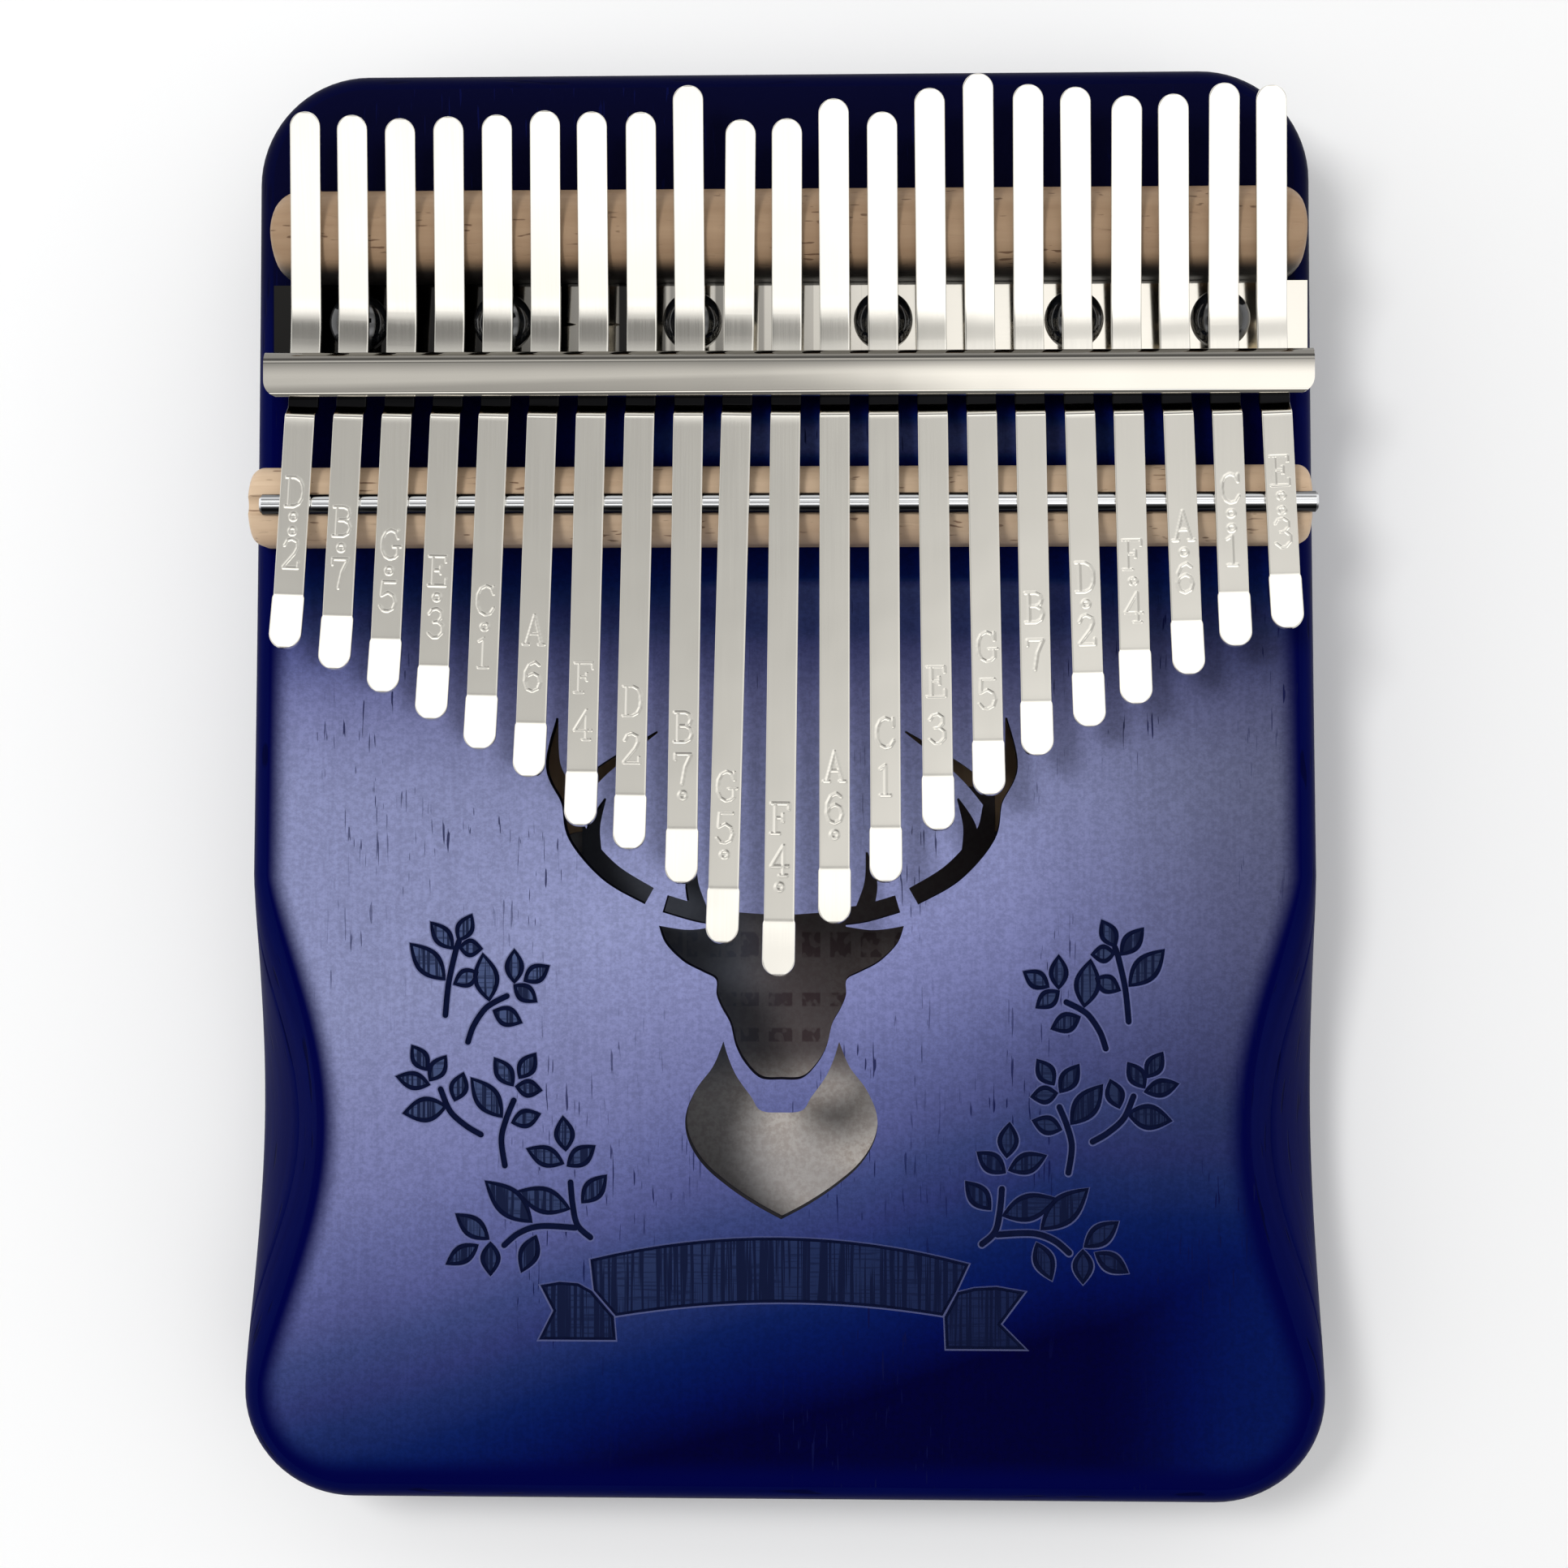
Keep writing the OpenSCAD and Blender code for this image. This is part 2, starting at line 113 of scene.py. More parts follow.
class Nodes:
    """A small helper for writing a material's or a world's nodes as a chain of calls."""

    def __init__(self, owner, place):
        owner.use_nodes = True
        self.tree = owner.node_tree
        self.place = self.new("ShaderNodeTexCoord").outputs[place]
        split = self.new("ShaderNodeSeparateXYZ")
        self.put(self.place, split.inputs[0])
        self.x, self.y, self.z = split.outputs

    def new(self, kind, **settings):
        node = self.tree.nodes.new(kind)
        for key, value in settings.items():
            setattr(node, key, value)
        return node

    def put(self, value, socket):
        if isinstance(value, bpy.types.NodeSocket):
            self.tree.links.new(value, socket)
        elif isinstance(value, tuple) and socket.type == "RGBA" and len(value) == 3:
            socket.default_value = (*value, 1)
        else:
            socket.default_value = value

    def math(self, operation, a, b=0.0, c=0.0):
        node = self.new("ShaderNodeMath", operation=operation)
        for k, v in enumerate((a, b, c)):
            self.put(v, node.inputs[k])
        return node.outputs[0]

    def add(self, a, b):
        return self.math("ADD", a, b)

    def minus(self, a, b):
        return self.math("SUBTRACT", a, b)

    def times(self, a, b):
        return self.math("MULTIPLY", a, b)

    def most(self, a, b):
        return self.math("MAXIMUM", a, b)

    def least(self, a, b):
        return self.math("MINIMUM", a, b)

    def away(self, value, middle):
        """How far the value is from the middle one."""
        return self.math("ABSOLUTE", self.minus(value, middle))

    def scaled(self, scale, turn=0.0):
        node = self.new("ShaderNodeMapping")
        self.put(self.place, node.inputs["Vector"])
        node.inputs["Scale"].default_value = scale
        node.inputs["Rotation"].default_value = (0, 0, turn)
        return node.outputs[0]

    def noise(self, scale, detail=2.0, roughness=0.5, turn=0.0, distortion=0.0):
        node = self.new("ShaderNodeTexNoise")
        self.put(self.scaled(scale, turn), node.inputs["Vector"])
        node.inputs["Scale"].default_value = 1
        node.inputs["Detail"].default_value = detail
        node.inputs["Roughness"].default_value = roughness
        node.inputs["Distortion"].default_value = distortion
        return node.outputs["Fac"]

    def ramp(self, value, low, high, to_low=0.0, to_high=1.0, smooth=True):
        node = self.new("ShaderNodeMapRange", interpolation_type="SMOOTHSTEP" if smooth else "LINEAR")
        for socket, v in zip(node.inputs, (value, low, high, to_low, to_high)):
            self.put(v, socket)
        return node.outputs[0]

    def mix(self, share, a, b, blend="MIX"):
        node = self.new("ShaderNodeMix", data_type="RGBA", blend_type=blend)
        self.put(share, node.inputs["Factor"])
        self.put(a, node.inputs[6])
        self.put(b, node.inputs[7])
        return node.outputs[2]

    def grey(self, value):
        node = self.new("ShaderNodeCombineXYZ")
        for socket in node.inputs:
            self.put(value, socket)
        return node.outputs[0]

    def colours(self, value, stops):
        node = self.new("ShaderNodeValToRGB")
        self.put(value, node.inputs["Fac"])
        elements = node.color_ramp.elements
        for k, (at, colour) in enumerate(stops):
            element = elements[k] if k < 2 else elements.new(at)
            element.position = at
            element.color = (*colour, 1)
        return node.outputs["Color"]


class Paint(Nodes):
    """The nodes of a new material, from a piece's own place to its shader."""

    def __init__(self, name):
        self.material = bpy.data.materials.new(name)
        super().__init__(self.material, "Object")
        self.shader = self.tree.nodes["Principled BSDF"]

    def bump(self, height, distance, strength=1.0):
        node = self.new("ShaderNodeBump")
        self.put(height, node.inputs["Height"])
        node.inputs["Distance"].default_value = distance
        node.inputs["Strength"].default_value = strength
        self.put(node.outputs[0], self.shader.inputs["Normal"])

    def finish(self, **sockets):
        for name, value in sockets.items():
            self.put(value, self.shader.inputs[name.replace("_", " ")])
        return self.material


def linear(r, g, b):
    """A display colour of 0 to 255 as the shader's own linear colour."""
    return tuple((c / 255 / 12.92) if c <= 10 else ((c / 255 + 0.055) / 1.055) ** 2.4 for c in (r, g, b))


# The soundboard's flat top, in metres as the materials see it
TOP_HALF_WIDTH, TOP_HALF_LENGTH, TOP_CORNER = 0.0755, 0.1012, 0.013


def painted_sheen_and_shade(n):
    """Painted sheen and shade over the box's top: 0 in the stain's own deep navy and 1 in the painted
    lavender sheen, which fades into painted shadow at the head; then the share of painted light that
    is left towards the right, and the share of plain navy close to the edge, where the painted sheen stops."""
    x, y = n.x, n.y
    cloud = n.times(n.minus(n.noise((14, 9, 9), 2), 0.5), 0.012)
    slant = n.times(n.least(x, 0.042), -0.36)
    along = n.add(n.add(y, slant), cloud)
    foot = n.ramp(along, -0.092, -0.012, smooth=False)
    foot = n.most(foot, n.ramp(x, 0.045, 0.072, 0.0, 0.14))
    head = n.ramp(y, -0.004, 0.043, 1.0, 0.0)
    right = n.ramp(x, 0.018, 0.076, 1.0, 0.4, smooth=False)
    # Distance from the flat top's own outline, with its corners rounded
    far = n.least(n.away(y, SCOOP_Y * MM), SCOOP_HALF * MM)
    curve = n.math("COSINE", n.times(far, math.pi / 2 / (SCOOP_HALF * MM)))
    curve = n.math("POWER", curve, SCOOP_POWER)
    side = n.minus(TOP_HALF_WIDTH, n.times(curve, (SCOOP_WIDTH - EDGE_WIDTH) * MM))
    side = n.minus(n.minus(side, n.away(x, 0.0)), n.times(y, 0.014))
    end = n.minus(TOP_HALF_LENGTH, n.away(y, 0.0))
    a = n.most(n.minus(TOP_CORNER, side), 0.0)
    b = n.most(n.minus(TOP_CORNER, end), 0.0)
    corner = n.math("SQRT", n.add(n.times(a, a), n.times(b, b)))
    rim = n.ramp(n.minus(TOP_CORNER, corner), 0.0005, 0.0042, 1.0, 0.0)
    shade = n.times(foot, head)
    # Painted light between the tines round the middle, kept out of the lower bridge's painted shadow
    glow = n.ramp(n.away(x, 0.016), 0.015, 0.055, 0.4, 0.0)
    glow = n.times(glow, n.ramp(n.away(y, 0.039), 0.0068, 0.0105))
    glow = n.times(glow, n.ramp(y, 0.051, 0.056, 1.0, 0.0))
    shade = n.most(shade, n.times(glow, n.ramp(y, -0.02, 0.01)))
    # Painted light: less towards the right where the painted sheen is light, and more in the middle
    loss = n.times(n.minus(1.0, right), n.ramp(shade, 0.1, 0.5))
    middle = n.times(n.ramp(n.away(x, 0.008), 0.02, 0.06, 0.28, 0.0), n.ramp(y, -0.045, -0.012))
    return shade, n.add(n.minus(1.0, loss), middle), rim


# The stain's own deep navy at 0, then its painted sheen up to lavender, along the painted shade
STAIN_AND_SHEEN = [
    (0.0, linear(1, 1, 44)),
    (0.075, linear(2, 10, 68)),
    (0.15, linear(5, 20, 78)),
    (0.2, linear(10, 27, 82)),
    (0.275, linear(28, 42, 93)),
    (0.325, linear(42, 50, 101)),
    (0.4, linear(54, 64, 112)),
    (0.475, linear(75, 80, 129)),
    (0.575, linear(91, 96, 143)),
    (0.675, linear(107, 111, 156)),
    (0.8, linear(117, 121, 163)),
    (1.0, linear(128, 133, 171)),
]
EDGE_NAVY = linear(0, 2, 60)


def board_material():
    n = Paint("stained_board")
    shade, right, rim = painted_sheen_and_shade(n)
    # The stain's navy with the painted sheen and shade over it
    colour = n.colours(shade, STAIN_AND_SHEEN)
    grain = n.noise((1500, 60, 60), 3, 0.6)
    streak = n.noise((260, 10, 10), 2, 0.5)
    speckle = n.noise((1500, 1700, 1700), 2, 0.7)
    tone = n.add(n.ramp(grain, 0.35, 0.65, 1.03, 0.96), n.ramp(streak, 0.3, 0.7, -0.02, 0.02))
    tone = n.times(tone, n.ramp(speckle, 0.32, 0.68, 0.88, 1.12))
    # Painted light, fading towards the right and lighter in the middle
    tone = n.times(tone, right)
    colour = n.mix(1.0, colour, n.grey(tone), "MULTIPLY")
    # Plain navy close to the edge, where the painted sheen stops
    colour = n.mix(rim, colour, EDGE_NAVY)
    # Painted shadow under the tines' tails, darker towards the head end
    colour = n.mix(n.ramp(n.y, 0.05, 0.075, 0.0, 0.85), colour, linear(7, 8, 32))
    pores = n.ramp(n.noise((2600, 190, 190), 1, 0.4, distortion=0.3), 0.68, 0.72)
    zone = n.ramp(n.noise((45, 26, 26), 2), 0.5, 0.62)
    pores = n.times(pores, zone)
    colour = n.mix(n.times(pores, 0.85), colour, linear(10, 14, 60))
    height = n.add(n.times(grain, 0.35), n.times(speckle, 0.35))
    height = n.minus(height, n.times(pores, 1.2))
    n.bump(height, 0.00006, 0.6)
    rough = n.ramp(speckle, 0.3, 0.7, 0.36, 0.46)
    return n.finish(Base_Color=colour, Roughness=rough, Specular_IOR_Level=0.012)


def groove_material():
    n = Paint("engraved_groove")
    char = n.noise((900, 900, 900), 2)
    colour = n.mix(char, linear(4, 8, 34), linear(12, 20, 54))
    n.bump(char, 0.00005, 0.5)
    return n.finish(Base_Color=colour, Roughness=0.75, Specular_IOR_Level=0.05)


def lip_material():
    """Varnish gathered on the rounded lips of the engraving, glossier than the board round it; their colour
    is the board's painted sheen and shade, lightened halfway towards a pale blue as a painted highlight.
    """
    n = Paint("engraved_lip")
    shade = painted_sheen_and_shade(n)[0]
    # The top's painted sheen and shade, lightened as a painted highlight
    colour = n.mix(0.5, n.colours(shade, STAIN_AND_SHEEN), linear(70, 78, 128))
    rough = n.ramp(n.noise((1500, 1500, 1500), 2), 0.3, 0.7, 0.26, 0.4)
    return n.finish(Base_Color=colour, Roughness=rough, Specular_IOR_Level=0.6)


def hatch_material():
    n = Paint("engraved_hatch")
    # The hatch's base colour carries the top's painted sheen, shade and light
    shade, right = painted_sheen_and_shade(n)[:2]
    stops = [(0.0, linear(14, 23, 58)), (0.3, linear(27, 39, 75)), (1.0, linear(66, 78, 114))]
    base = n.colours(shade, stops)
    base = n.mix(1.0, base, n.grey(right), "MULTIPLY")
    upright = n.ramp(n.noise((2000, 40, 40), 2, 0.6), 0.47, 0.53)
    level = n.ramp(n.noise((90, 2400, 90), 2, 0.6), 0.53, 0.6, 0.0, 0.6)
    bars = n.most(upright, level)
    colour = n.mix(n.times(bars, 0.85), base, linear(5, 12, 42))
    n.bump(bars, 0.00008, -0.6)
    return n.finish(Base_Color=colour, Roughness=0.65, Specular_IOR_Level=0.06)


def side_material(name, dark, light):
    n = Paint(name)
    grain = n.noise((30, 30, 900), 3, 0.6)
    pores = n.ramp(n.noise((120, 120, 1600), 1, 0.4), 0.66, 0.72)
    colour = n.mix(grain, dark, light)
    colour = n.mix(n.times(pores, 0.6), colour, linear(1, 2, 30))
    # Painted shade, darker towards the head end, as on the board's top
    colour = n.mix(n.ramp(n.y, 0.055, 0.08, 0.0, 0.75), colour, linear(5, 6, 30))
    n.bump(n.minus(grain, pores), 0.00005, 0.5)
    return n.finish(Base_Color=colour, Roughness=0.4, Specular_IOR_Level=0.012)


def back_material():
    n = Paint("stained_back")
    grain = n.noise((1200, 45, 45), 3, 0.6)
    pores = n.ramp(n.noise((1500, 130, 130), 1, 0.4), 0.67, 0.72)
    colour = n.mix(grain, linear(3, 6, 52), linear(12, 18, 74))
    colour = n.mix(n.times(pores, 0.7), colour, linear(2, 4, 28))
    n.bump(n.minus(grain, pores), 0.00006, 0.5)
    return n.finish(Base_Color=colour, Roughness=0.45, Specular_IOR_Level=0.04)


def inner_wood_material(name, dark, light):
    n = Paint(name)
    grain = n.noise((900, 40, 40), 3, 0.6)
    colour = n.mix(grain, dark, light)
    n.bump(grain, 0.00008, 0.5)
    return n.finish(Base_Color=colour, Roughness=0.8, Specular_IOR_Level=0.15)


def beech_material():
    n = Paint("beech")
    grain = n.noise((30, 700, 700), 3, 0.6, distortion=0.2)
    wide = n.noise((18, 90, 90), 2)
    flecks = n.ramp(n.noise((360, 2000, 2000), 1, 0.4, turn=0.06), 0.65, 0.7)
    zone = n.ramp(n.noise((70, 160, 160), 1), 0.46, 0.58)
    colour = n.mix(grain, linear(166, 144, 122), linear(196, 178, 156))
    colour = n.mix(n.ramp(wide, 0.4, 0.65, 0.0, 0.4), colour, linear(152, 126, 102))
    colour = n.mix(n.times(n.times(flecks, zone), 0.75), colour, linear(92, 64, 46))
    # Painted shade under the tines' tails makes the upper bridge darker than the lower one, which is
    # painted lighter, and darkest on its side towards the clamp
    upper = n.mix(1.0, colour, (0.72, 0.62, 0.52), "MULTIPLY")
    upper = n.mix(n.ramp(n.y, 0.0736, 0.0757, 1.0, 0.0), upper, linear(34, 30, 28))
    lower = n.mix(1.0, colour, (1.3, 1.24, 1.16), "MULTIPLY")
    colour = n.mix(n.ramp(n.y, 0.055, 0.065), lower, upper)
    n.bump(n.minus(grain, flecks), 0.00006, 0.5)
    return n.finish(Base_Color=colour, Roughness=0.5, Specular_IOR_Level=0.3)


def steel_material(name, colour, rough, scratch, painted_reflection, brushed=(5000, 40, 40), wave=0.0):
    n = Paint(name)
    lines = n.noise(brushed, 2, 0.6)
    patch = n.noise((60, 35, 35), 2)
    shade = n.mix(n.ramp(patch, 0.35, 0.7, 0.0, 0.2), colour, tuple(c * 0.9 for c in colour))
    # Painted dark reflection where the given mask asks for it
    shade = n.mix(painted_reflection(n), shade, linear(4, 5, 10))
    roughness = n.ramp(lines, 0.35, 0.65, rough * 0.9, rough * 1.1)
    roughness = n.add(roughness, n.ramp(patch, 0.3, 0.7, 0.0, 0.02))
    height = n.times(lines, scratch)
    height = n.add(height, n.times(n.noise((95, 95, 95), 1, 0.4), wave))
    n.bump(height, 0.00001)
    return n.finish(Base_Color=shade, Metallic=1.0, Roughness=roughness)


def under_bar_painted_reflection(n):
    """Painted dark reflection on the stretch of each tine just below the bar,
    which sees only the clamp's dark side.
    """
    return n.ramp(n.away(n.y, 0.0546), 0.0011, 0.0013, 0.99, 0.0)


def rod_painted_reflection(n):
    """Painted dark reflections on the rod, along its lower side and next to the bridge above it."""
    low = n.ramp(n.y, 0.0396, 0.0402, 0.97, 0.0)
    return n.most(low, n.ramp(n.y, 0.0411, 0.0415, 0.0, 0.8))


def bracket_painted_reflection(n):
    """Painted dark reflections on the bracket along its bend, and in stripes on its foot and web
    towards the left.
    """
    bend = n.ramp(n.y, 0.0584, 0.0612, 0.0, 0.7)
    stripe = n.ramp(n.noise((420, 0.001, 0.001), 1), 0.47, 0.53, -0.25, 0.3)
    right = n.ramp(n.x, -0.045, 0.015, 1.25, -0.3, smooth=False)
    foot = n.least(n.most(n.add(right, stripe), 0.0), 0.97)
    deep = n.ramp(n.z, 0.0408, 0.0418, 1.0, 0.0)
    bend = n.times(bend, n.minus(1.0, deep))
    return n.most(bend, n.times(foot, deep))


def screw_material():
    n = Paint("black_screw")
    wear = n.noise((1200, 1200, 1200), 2)
    colour = n.mix(wear, linear(10, 11, 14), linear(30, 33, 38))
    return n.finish(Base_Color=colour, Roughness=n.ramp(wear, 0.3, 0.7, 0.08, 0.16), Specular_IOR_Level=1.0,
                    Metallic=0.3, Coat_Weight=1.0)


def label_material():
    """Printed paper with plain blocks and lines where a real label has its print."""
    n = Paint("label_paper")
    fibre = n.noise((1300, 1300, 1300), 3, 0.6)
    stain = n.noise((55, 55, 55), 2)
    paper = n.mix(n.ramp(fibre, 0.35, 0.65), linear(222, 208, 198), linear(248, 240, 232))
    paper = n.mix(n.ramp(stain, 0.4, 0.65, 0.0, 0.5), paper, linear(196, 194, 196))

    def band(v, middle, half, soft=0.0003):
        return n.ramp(n.away(v, middle), half, half + soft, 1.0, 0.0)

    rows = None
    for at, half in ((-0.0245, 0.0018), (-0.033, 0.0009), (-0.0385, 0.0009)):
        row = band(n.y, at, half)
        rows = row if rows is None else n.most(rows, row)
    blocks = n.ramp(n.noise((420, 0.001, 0.001), 0), 0.44, 0.47)
    blocks = n.times(blocks, n.ramp(n.noise((700, 500, 500), 1), 0.42, 0.5, 0.25, 1.0))
    ink = n.times(n.times(rows, blocks), band(n.x, 0.0, 0.022))
    colour = n.mix(n.times(ink, 0.7), paper, linear(96, 62, 62))
    # Painted shadow of the hole's edge: darker towards the head end, and bluish dark on the left
    colour = n.mix(n.ramp(n.y, -0.05, -0.04, 0.0, 0.88), colour, linear(56, 44, 50))
    colour = n.mix(n.ramp(n.x, -0.012, 0.002, 0.6, 0.0), colour, linear(88, 100, 116))
    n.bump(fibre, 0.00004, 0.4)
    return n.finish(Base_Color=colour, Roughness=0.85, Specular_IOR_Level=0.2)


def floor_material():
    n = Paint("pale_floor")
    cloud = n.noise((3, 3, 3), 2)
    colour = n.mix(cloud, (0.9, 0.9, 0.9), (0.93, 0.93, 0.93))
    return n.finish(Base_Color=colour, Roughness=0.9, Specular_IOR_Level=0.1)


board_paint = board_material()
groove_paint = groove_material()
hatch_paint = hatch_material()
lip_paint = lip_material()
side_paint = side_material("stained_sides", linear(1, 3, 54), linear(5, 12, 72))
edge_paint = side_material("cut_edge", linear(3, 4, 18), linear(14, 16, 40))
back_paint = back_material()
inner_paint = inner_wood_material("inner_wood", linear(176, 146, 114), linear(208, 182, 150))
beech_paint = beech_material()
tine_paint = steel_material("tine_steel", (0.81, 0.78, 0.71), 0.13, 0.04, under_bar_painted_reflection, wave=6)
rod_paint = steel_material("rod_steel", (0.85, 0.86, 0.87), 0.12, 0.03, rod_painted_reflection, (30, 4000, 4000))
bracket_paint = steel_material("bracket_steel", (0.81, 0.77, 0.69), 0.07, 0.03, bracket_painted_reflection,
                               (25, 5000, 5000), wave=2)
screw_paint = screw_material()
label_paint = label_material()


# ---- Mesh helpers

def add_mesh(name, points, faces, paints, shades=None):
    mesh = bpy.data.meshes.new(name)
    mesh.from_pydata([tuple(c * MM for c in p) for p in points], [], faces)
    for paint in paints:
        mesh.materials.append(paint)
    if shades is not None:
        mesh.polygons.foreach_set("material_index", shades)
    mesh.update()
    obj = bpy.data.objects.new(name, mesh)
    bpy.context.scene.collection.objects.link(obj)
    return obj


def soften(obj, degrees=32):
    """Smooth shading that stops at edges sharper than the given angle."""
    mesh = obj.data
    mesh.polygons.foreach_set("use_smooth", [True] * len(mesh.polygons))
    mesh.set_sharp_from_angle(angle=math.radians(degrees))
    mesh.update()


def settle(obj):
    """Turns the object's modifiers into plain mesh."""
    bpy.context.view_layer.update()
    made = bpy.data.meshes.new_from_object(obj.evaluated_get(bpy.context.evaluated_depsgraph_get()))
    obj.modifiers.clear()
    obj.data = made
    made.name = obj.name


def cut(obj, cutter):
    """Cuts the cutter's solid out of the object; the new faces keep the cutter's paint."""
    tool = obj.modifiers.new("cut", "BOOLEAN")
    tool.operation = "DIFFERENCE"
    tool.solver = "EXACT"
    tool.material_mode = "TRANSFER"
    tool.object = cutter
    settle(obj)
    bpy.data.objects.remove(cutter)


def weighted(obj):
    """Lets wide flat faces rule the shading along their rounded edges."""
    tool = obj.modifiers.new("weighted", "WEIGHTED_NORMAL")
    tool.keep_sharp = True
    tool.weight = 100
    settle(obj)


def ring_faces(rings, size, closed_ends=True):
    """Faces of a skin over rings of the same number of points, numbered one ring after the other."""
    faces = []
    for j in range(rings - 1):
        for i in range(size):
            k = (i + 1) % size
            faces.append((j * size + i, j * size + k, (j + 1) * size + k, (j + 1) * size + i))
    if closed_ends:
        faces.append(tuple(range(size - 1, -1, -1)))
        faces.append(tuple((rings - 1) * size + i for i in range(size)))
    return faces


def on_curve(start, control, end, t):
    """A point of the curve that leaves start and reaches end heading along lines through control."""
    return tuple((1 - t) ** 2 * start[j] + 2 * t * (1 - t) * control[j] + t * t * end[j] for j in (0, 1))


# ---- Outline of the sound box, as in the CAD source but with closer points

def foot_share(y):
    return max(0, (BODY_LENGTH / 2 - y) / BODY_LENGTH) ** 1.5


def half_width(y):
    waist = WAIST_DEPTH * math.exp(-(((y - SCOOP_Y) / WAIST_REACH) ** 2))
    return HEAD_HALF_WIDTH + FOOT_FLARE * foot_share(y) - waist


def scoop(y):
    """Share of a palm scoop's full depth at the given place."""
    t = abs(y - SCOOP_Y) / SCOOP_HALF
    return 0 if t >= 1 else math.cos(math.pi / 2 * t) ** SCOOP_POWER


def plain_outline(side_steps, corner_steps):
    x, y = HEAD_HALF_WIDTH - CORNER_RADIUS, BODY_LENGTH / 2 - CORNER_RADIUS
    points = []

    def arc(cx, cy, start):
        for k in range(corner_steps + 1):
            a = math.radians(start + 90 * k / corner_steps)
            points.append((cx + CORNER_RADIUS * math.cos(a), cy + CORNER_RADIUS * math.sin(a)))

    def line(ax, ay, bx, by, steps):
        for k in range(1, steps):
            points.append((ax + (bx - ax) * k / steps, ay + (by - ay) * k / steps))

    line(HEAD_HALF_WIDTH, -y, HEAD_HALF_WIDTH, y, side_steps)
    arc(x, y, 0)
    line(x, BODY_LENGTH / 2, -x, BODY_LENGTH / 2, side_steps // 3)
    arc(-x, y, 90)
    line(-HEAD_HALF_WIDTH, y, -HEAD_HALF_WIDTH, -y, side_steps)
    arc(-x, -y, 180)
    line(-x, -BODY_LENGTH / 2, x, -BODY_LENGTH / 2, side_steps // 3)
    arc(x, -y, 270)
    return points


outline = [(x * half_width(y) / HEAD_HALF_WIDTH, y) for x, y in plain_outline(110, 18)]
inward = []
for i in range(len(outline)):
    (ax, ay), (bx, by) = outline[i - 1], outline[(i + 1) % len(outline)]
    length = math.hypot(bx - ax, by - ay)
    inward.append((-(by - ay) / length, (bx - ax) / length))


def ring(stations):
    """One ring of points, from each outline point's own inset and height."""
    return [
        (p[0] + d[0] * inset, p[1] + d[1] * inset, z)
        for p, d, (inset, z) in zip(outline, inward, stations)
    ]


def bevel_at(y, u):
    """Inset and height of the top edge's curve at outline height y, for u from 0 to 1."""
    s = scoop(y)
    flat = SCOOP_FLATNESS * s
    w = EDGE_WIDTH + (SCOOP_WIDTH - EDGE_WIDTH) * s
    d = EDGE_DEPTH + (SCOOP_DEPTH - EDGE_DEPTH) * s
    turn = math.pi / 2 * u
    return (w * ((1 - flat) * (1 - math.cos(turn)) + flat * u),
            BODY_HEIGHT - d * (1 - (1 - flat) * math.sin(turn) - flat * u))


def u_at_height(y, z):
    low, high = 0.0, 1.0
    if bevel_at(y, 0)[1] >= z:
        return 0.0
    for _ in range(40):
        middle = (low + high) / 2
        if bevel_at(y, middle)[1] < z:
            low = middle
        else:
            high = middle
    return low


SEAM = 0.14        # depth of the fine groove where two plates meet
EDGE_STEPS = 9
LIP = 1.1          # how far the rounding of the top face's edge reaches inwards
LIP_FROM = 0.9     # and where along the bevel it begins


def board_stations(y):
    """Inset and height from the soundboard's lower edge up to its flat top."""
    start = u_at_height(y, BOARD_BOTTOM)
    after_seam = u_at_height(y, BOARD_BOTTOM + SEAM)
    first = bevel_at(y, start)
    points = [(first[0] + SEAM, BOARD_BOTTOM)]
    for k in range(EDGE_STEPS + 1):
        points.append(bevel_at(y, after_seam + (LIP_FROM - after_seam) * k / EDGE_STEPS))
    a, b = bevel_at(y, LIP_FROM), bevel_at(y, 1)
    c = (b[0] + LIP, BODY_HEIGHT)
    return points + [on_curve(a, b, c, k / 4) for k in range(1, 5)]


def rim_stations(y):
    """Inset and height of the side wall, from the back plate up to the soundboard."""
    top = min(bevel_at(y, 0)[1], BOARD_BOTTOM - SEAM)
    points = [(SEAM, BACK_TOP), (0, BACK_TOP + SEAM)]
    points += [(0, BACK_TOP + SEAM + (top - BACK_TOP - SEAM) * k / 3) for k in (1, 2, 3)]
    end = u_at_height(y, BOARD_BOTTOM - SEAM)
    points += [bevel_at(y, end * k / EDGE_STEPS) for k in range(1, EDGE_STEPS)]
    last = bevel_at(y, end) if end > 0 else (0, BOARD_BOTTOM - SEAM)
    points += [last, (bevel_at(y, u_at_height(y, BOARD_BOTTOM))[0] + SEAM, BOARD_BOTTOM)]
    return points


def back_stations(y):
    points = []
    for k in range(EDGE_STEPS + 1):
        turn = math.pi / 2 * k / EDGE_STEPS
        points.append((BACK_ROUNDING * (1 - math.sin(turn)), BACK_ROUNDING * (1 - math.cos(turn))))
    points[-1] = (0, BACK_TOP - SEAM)
    return points + [(SEAM, BACK_TOP)]


def rings_of(stations_at):
    """All rings of a plate, from the function that gives the insets and heights at each place."""
    stations = [stations_at(y) for _, y in outline]
    return [ring([s[j] for s in stations]) for j in range(len(stations[0]))]


# ---- Flat shapes for the cutters

def catmull(a, b, c, d, t):
    """A point between b and c of a smooth curve through a, b, c and d."""
    return tuple(
        0.5 * (2 * b[k] + (c[k] - a[k]) * t + (2 * a[k] - 5 * b[k] + 4 * c[k] - d[k]) * t * t
               + (3 * b[k] - a[k] - 3 * c[k] + d[k]) * t ** 3)
        for k in range(len(b))
    )


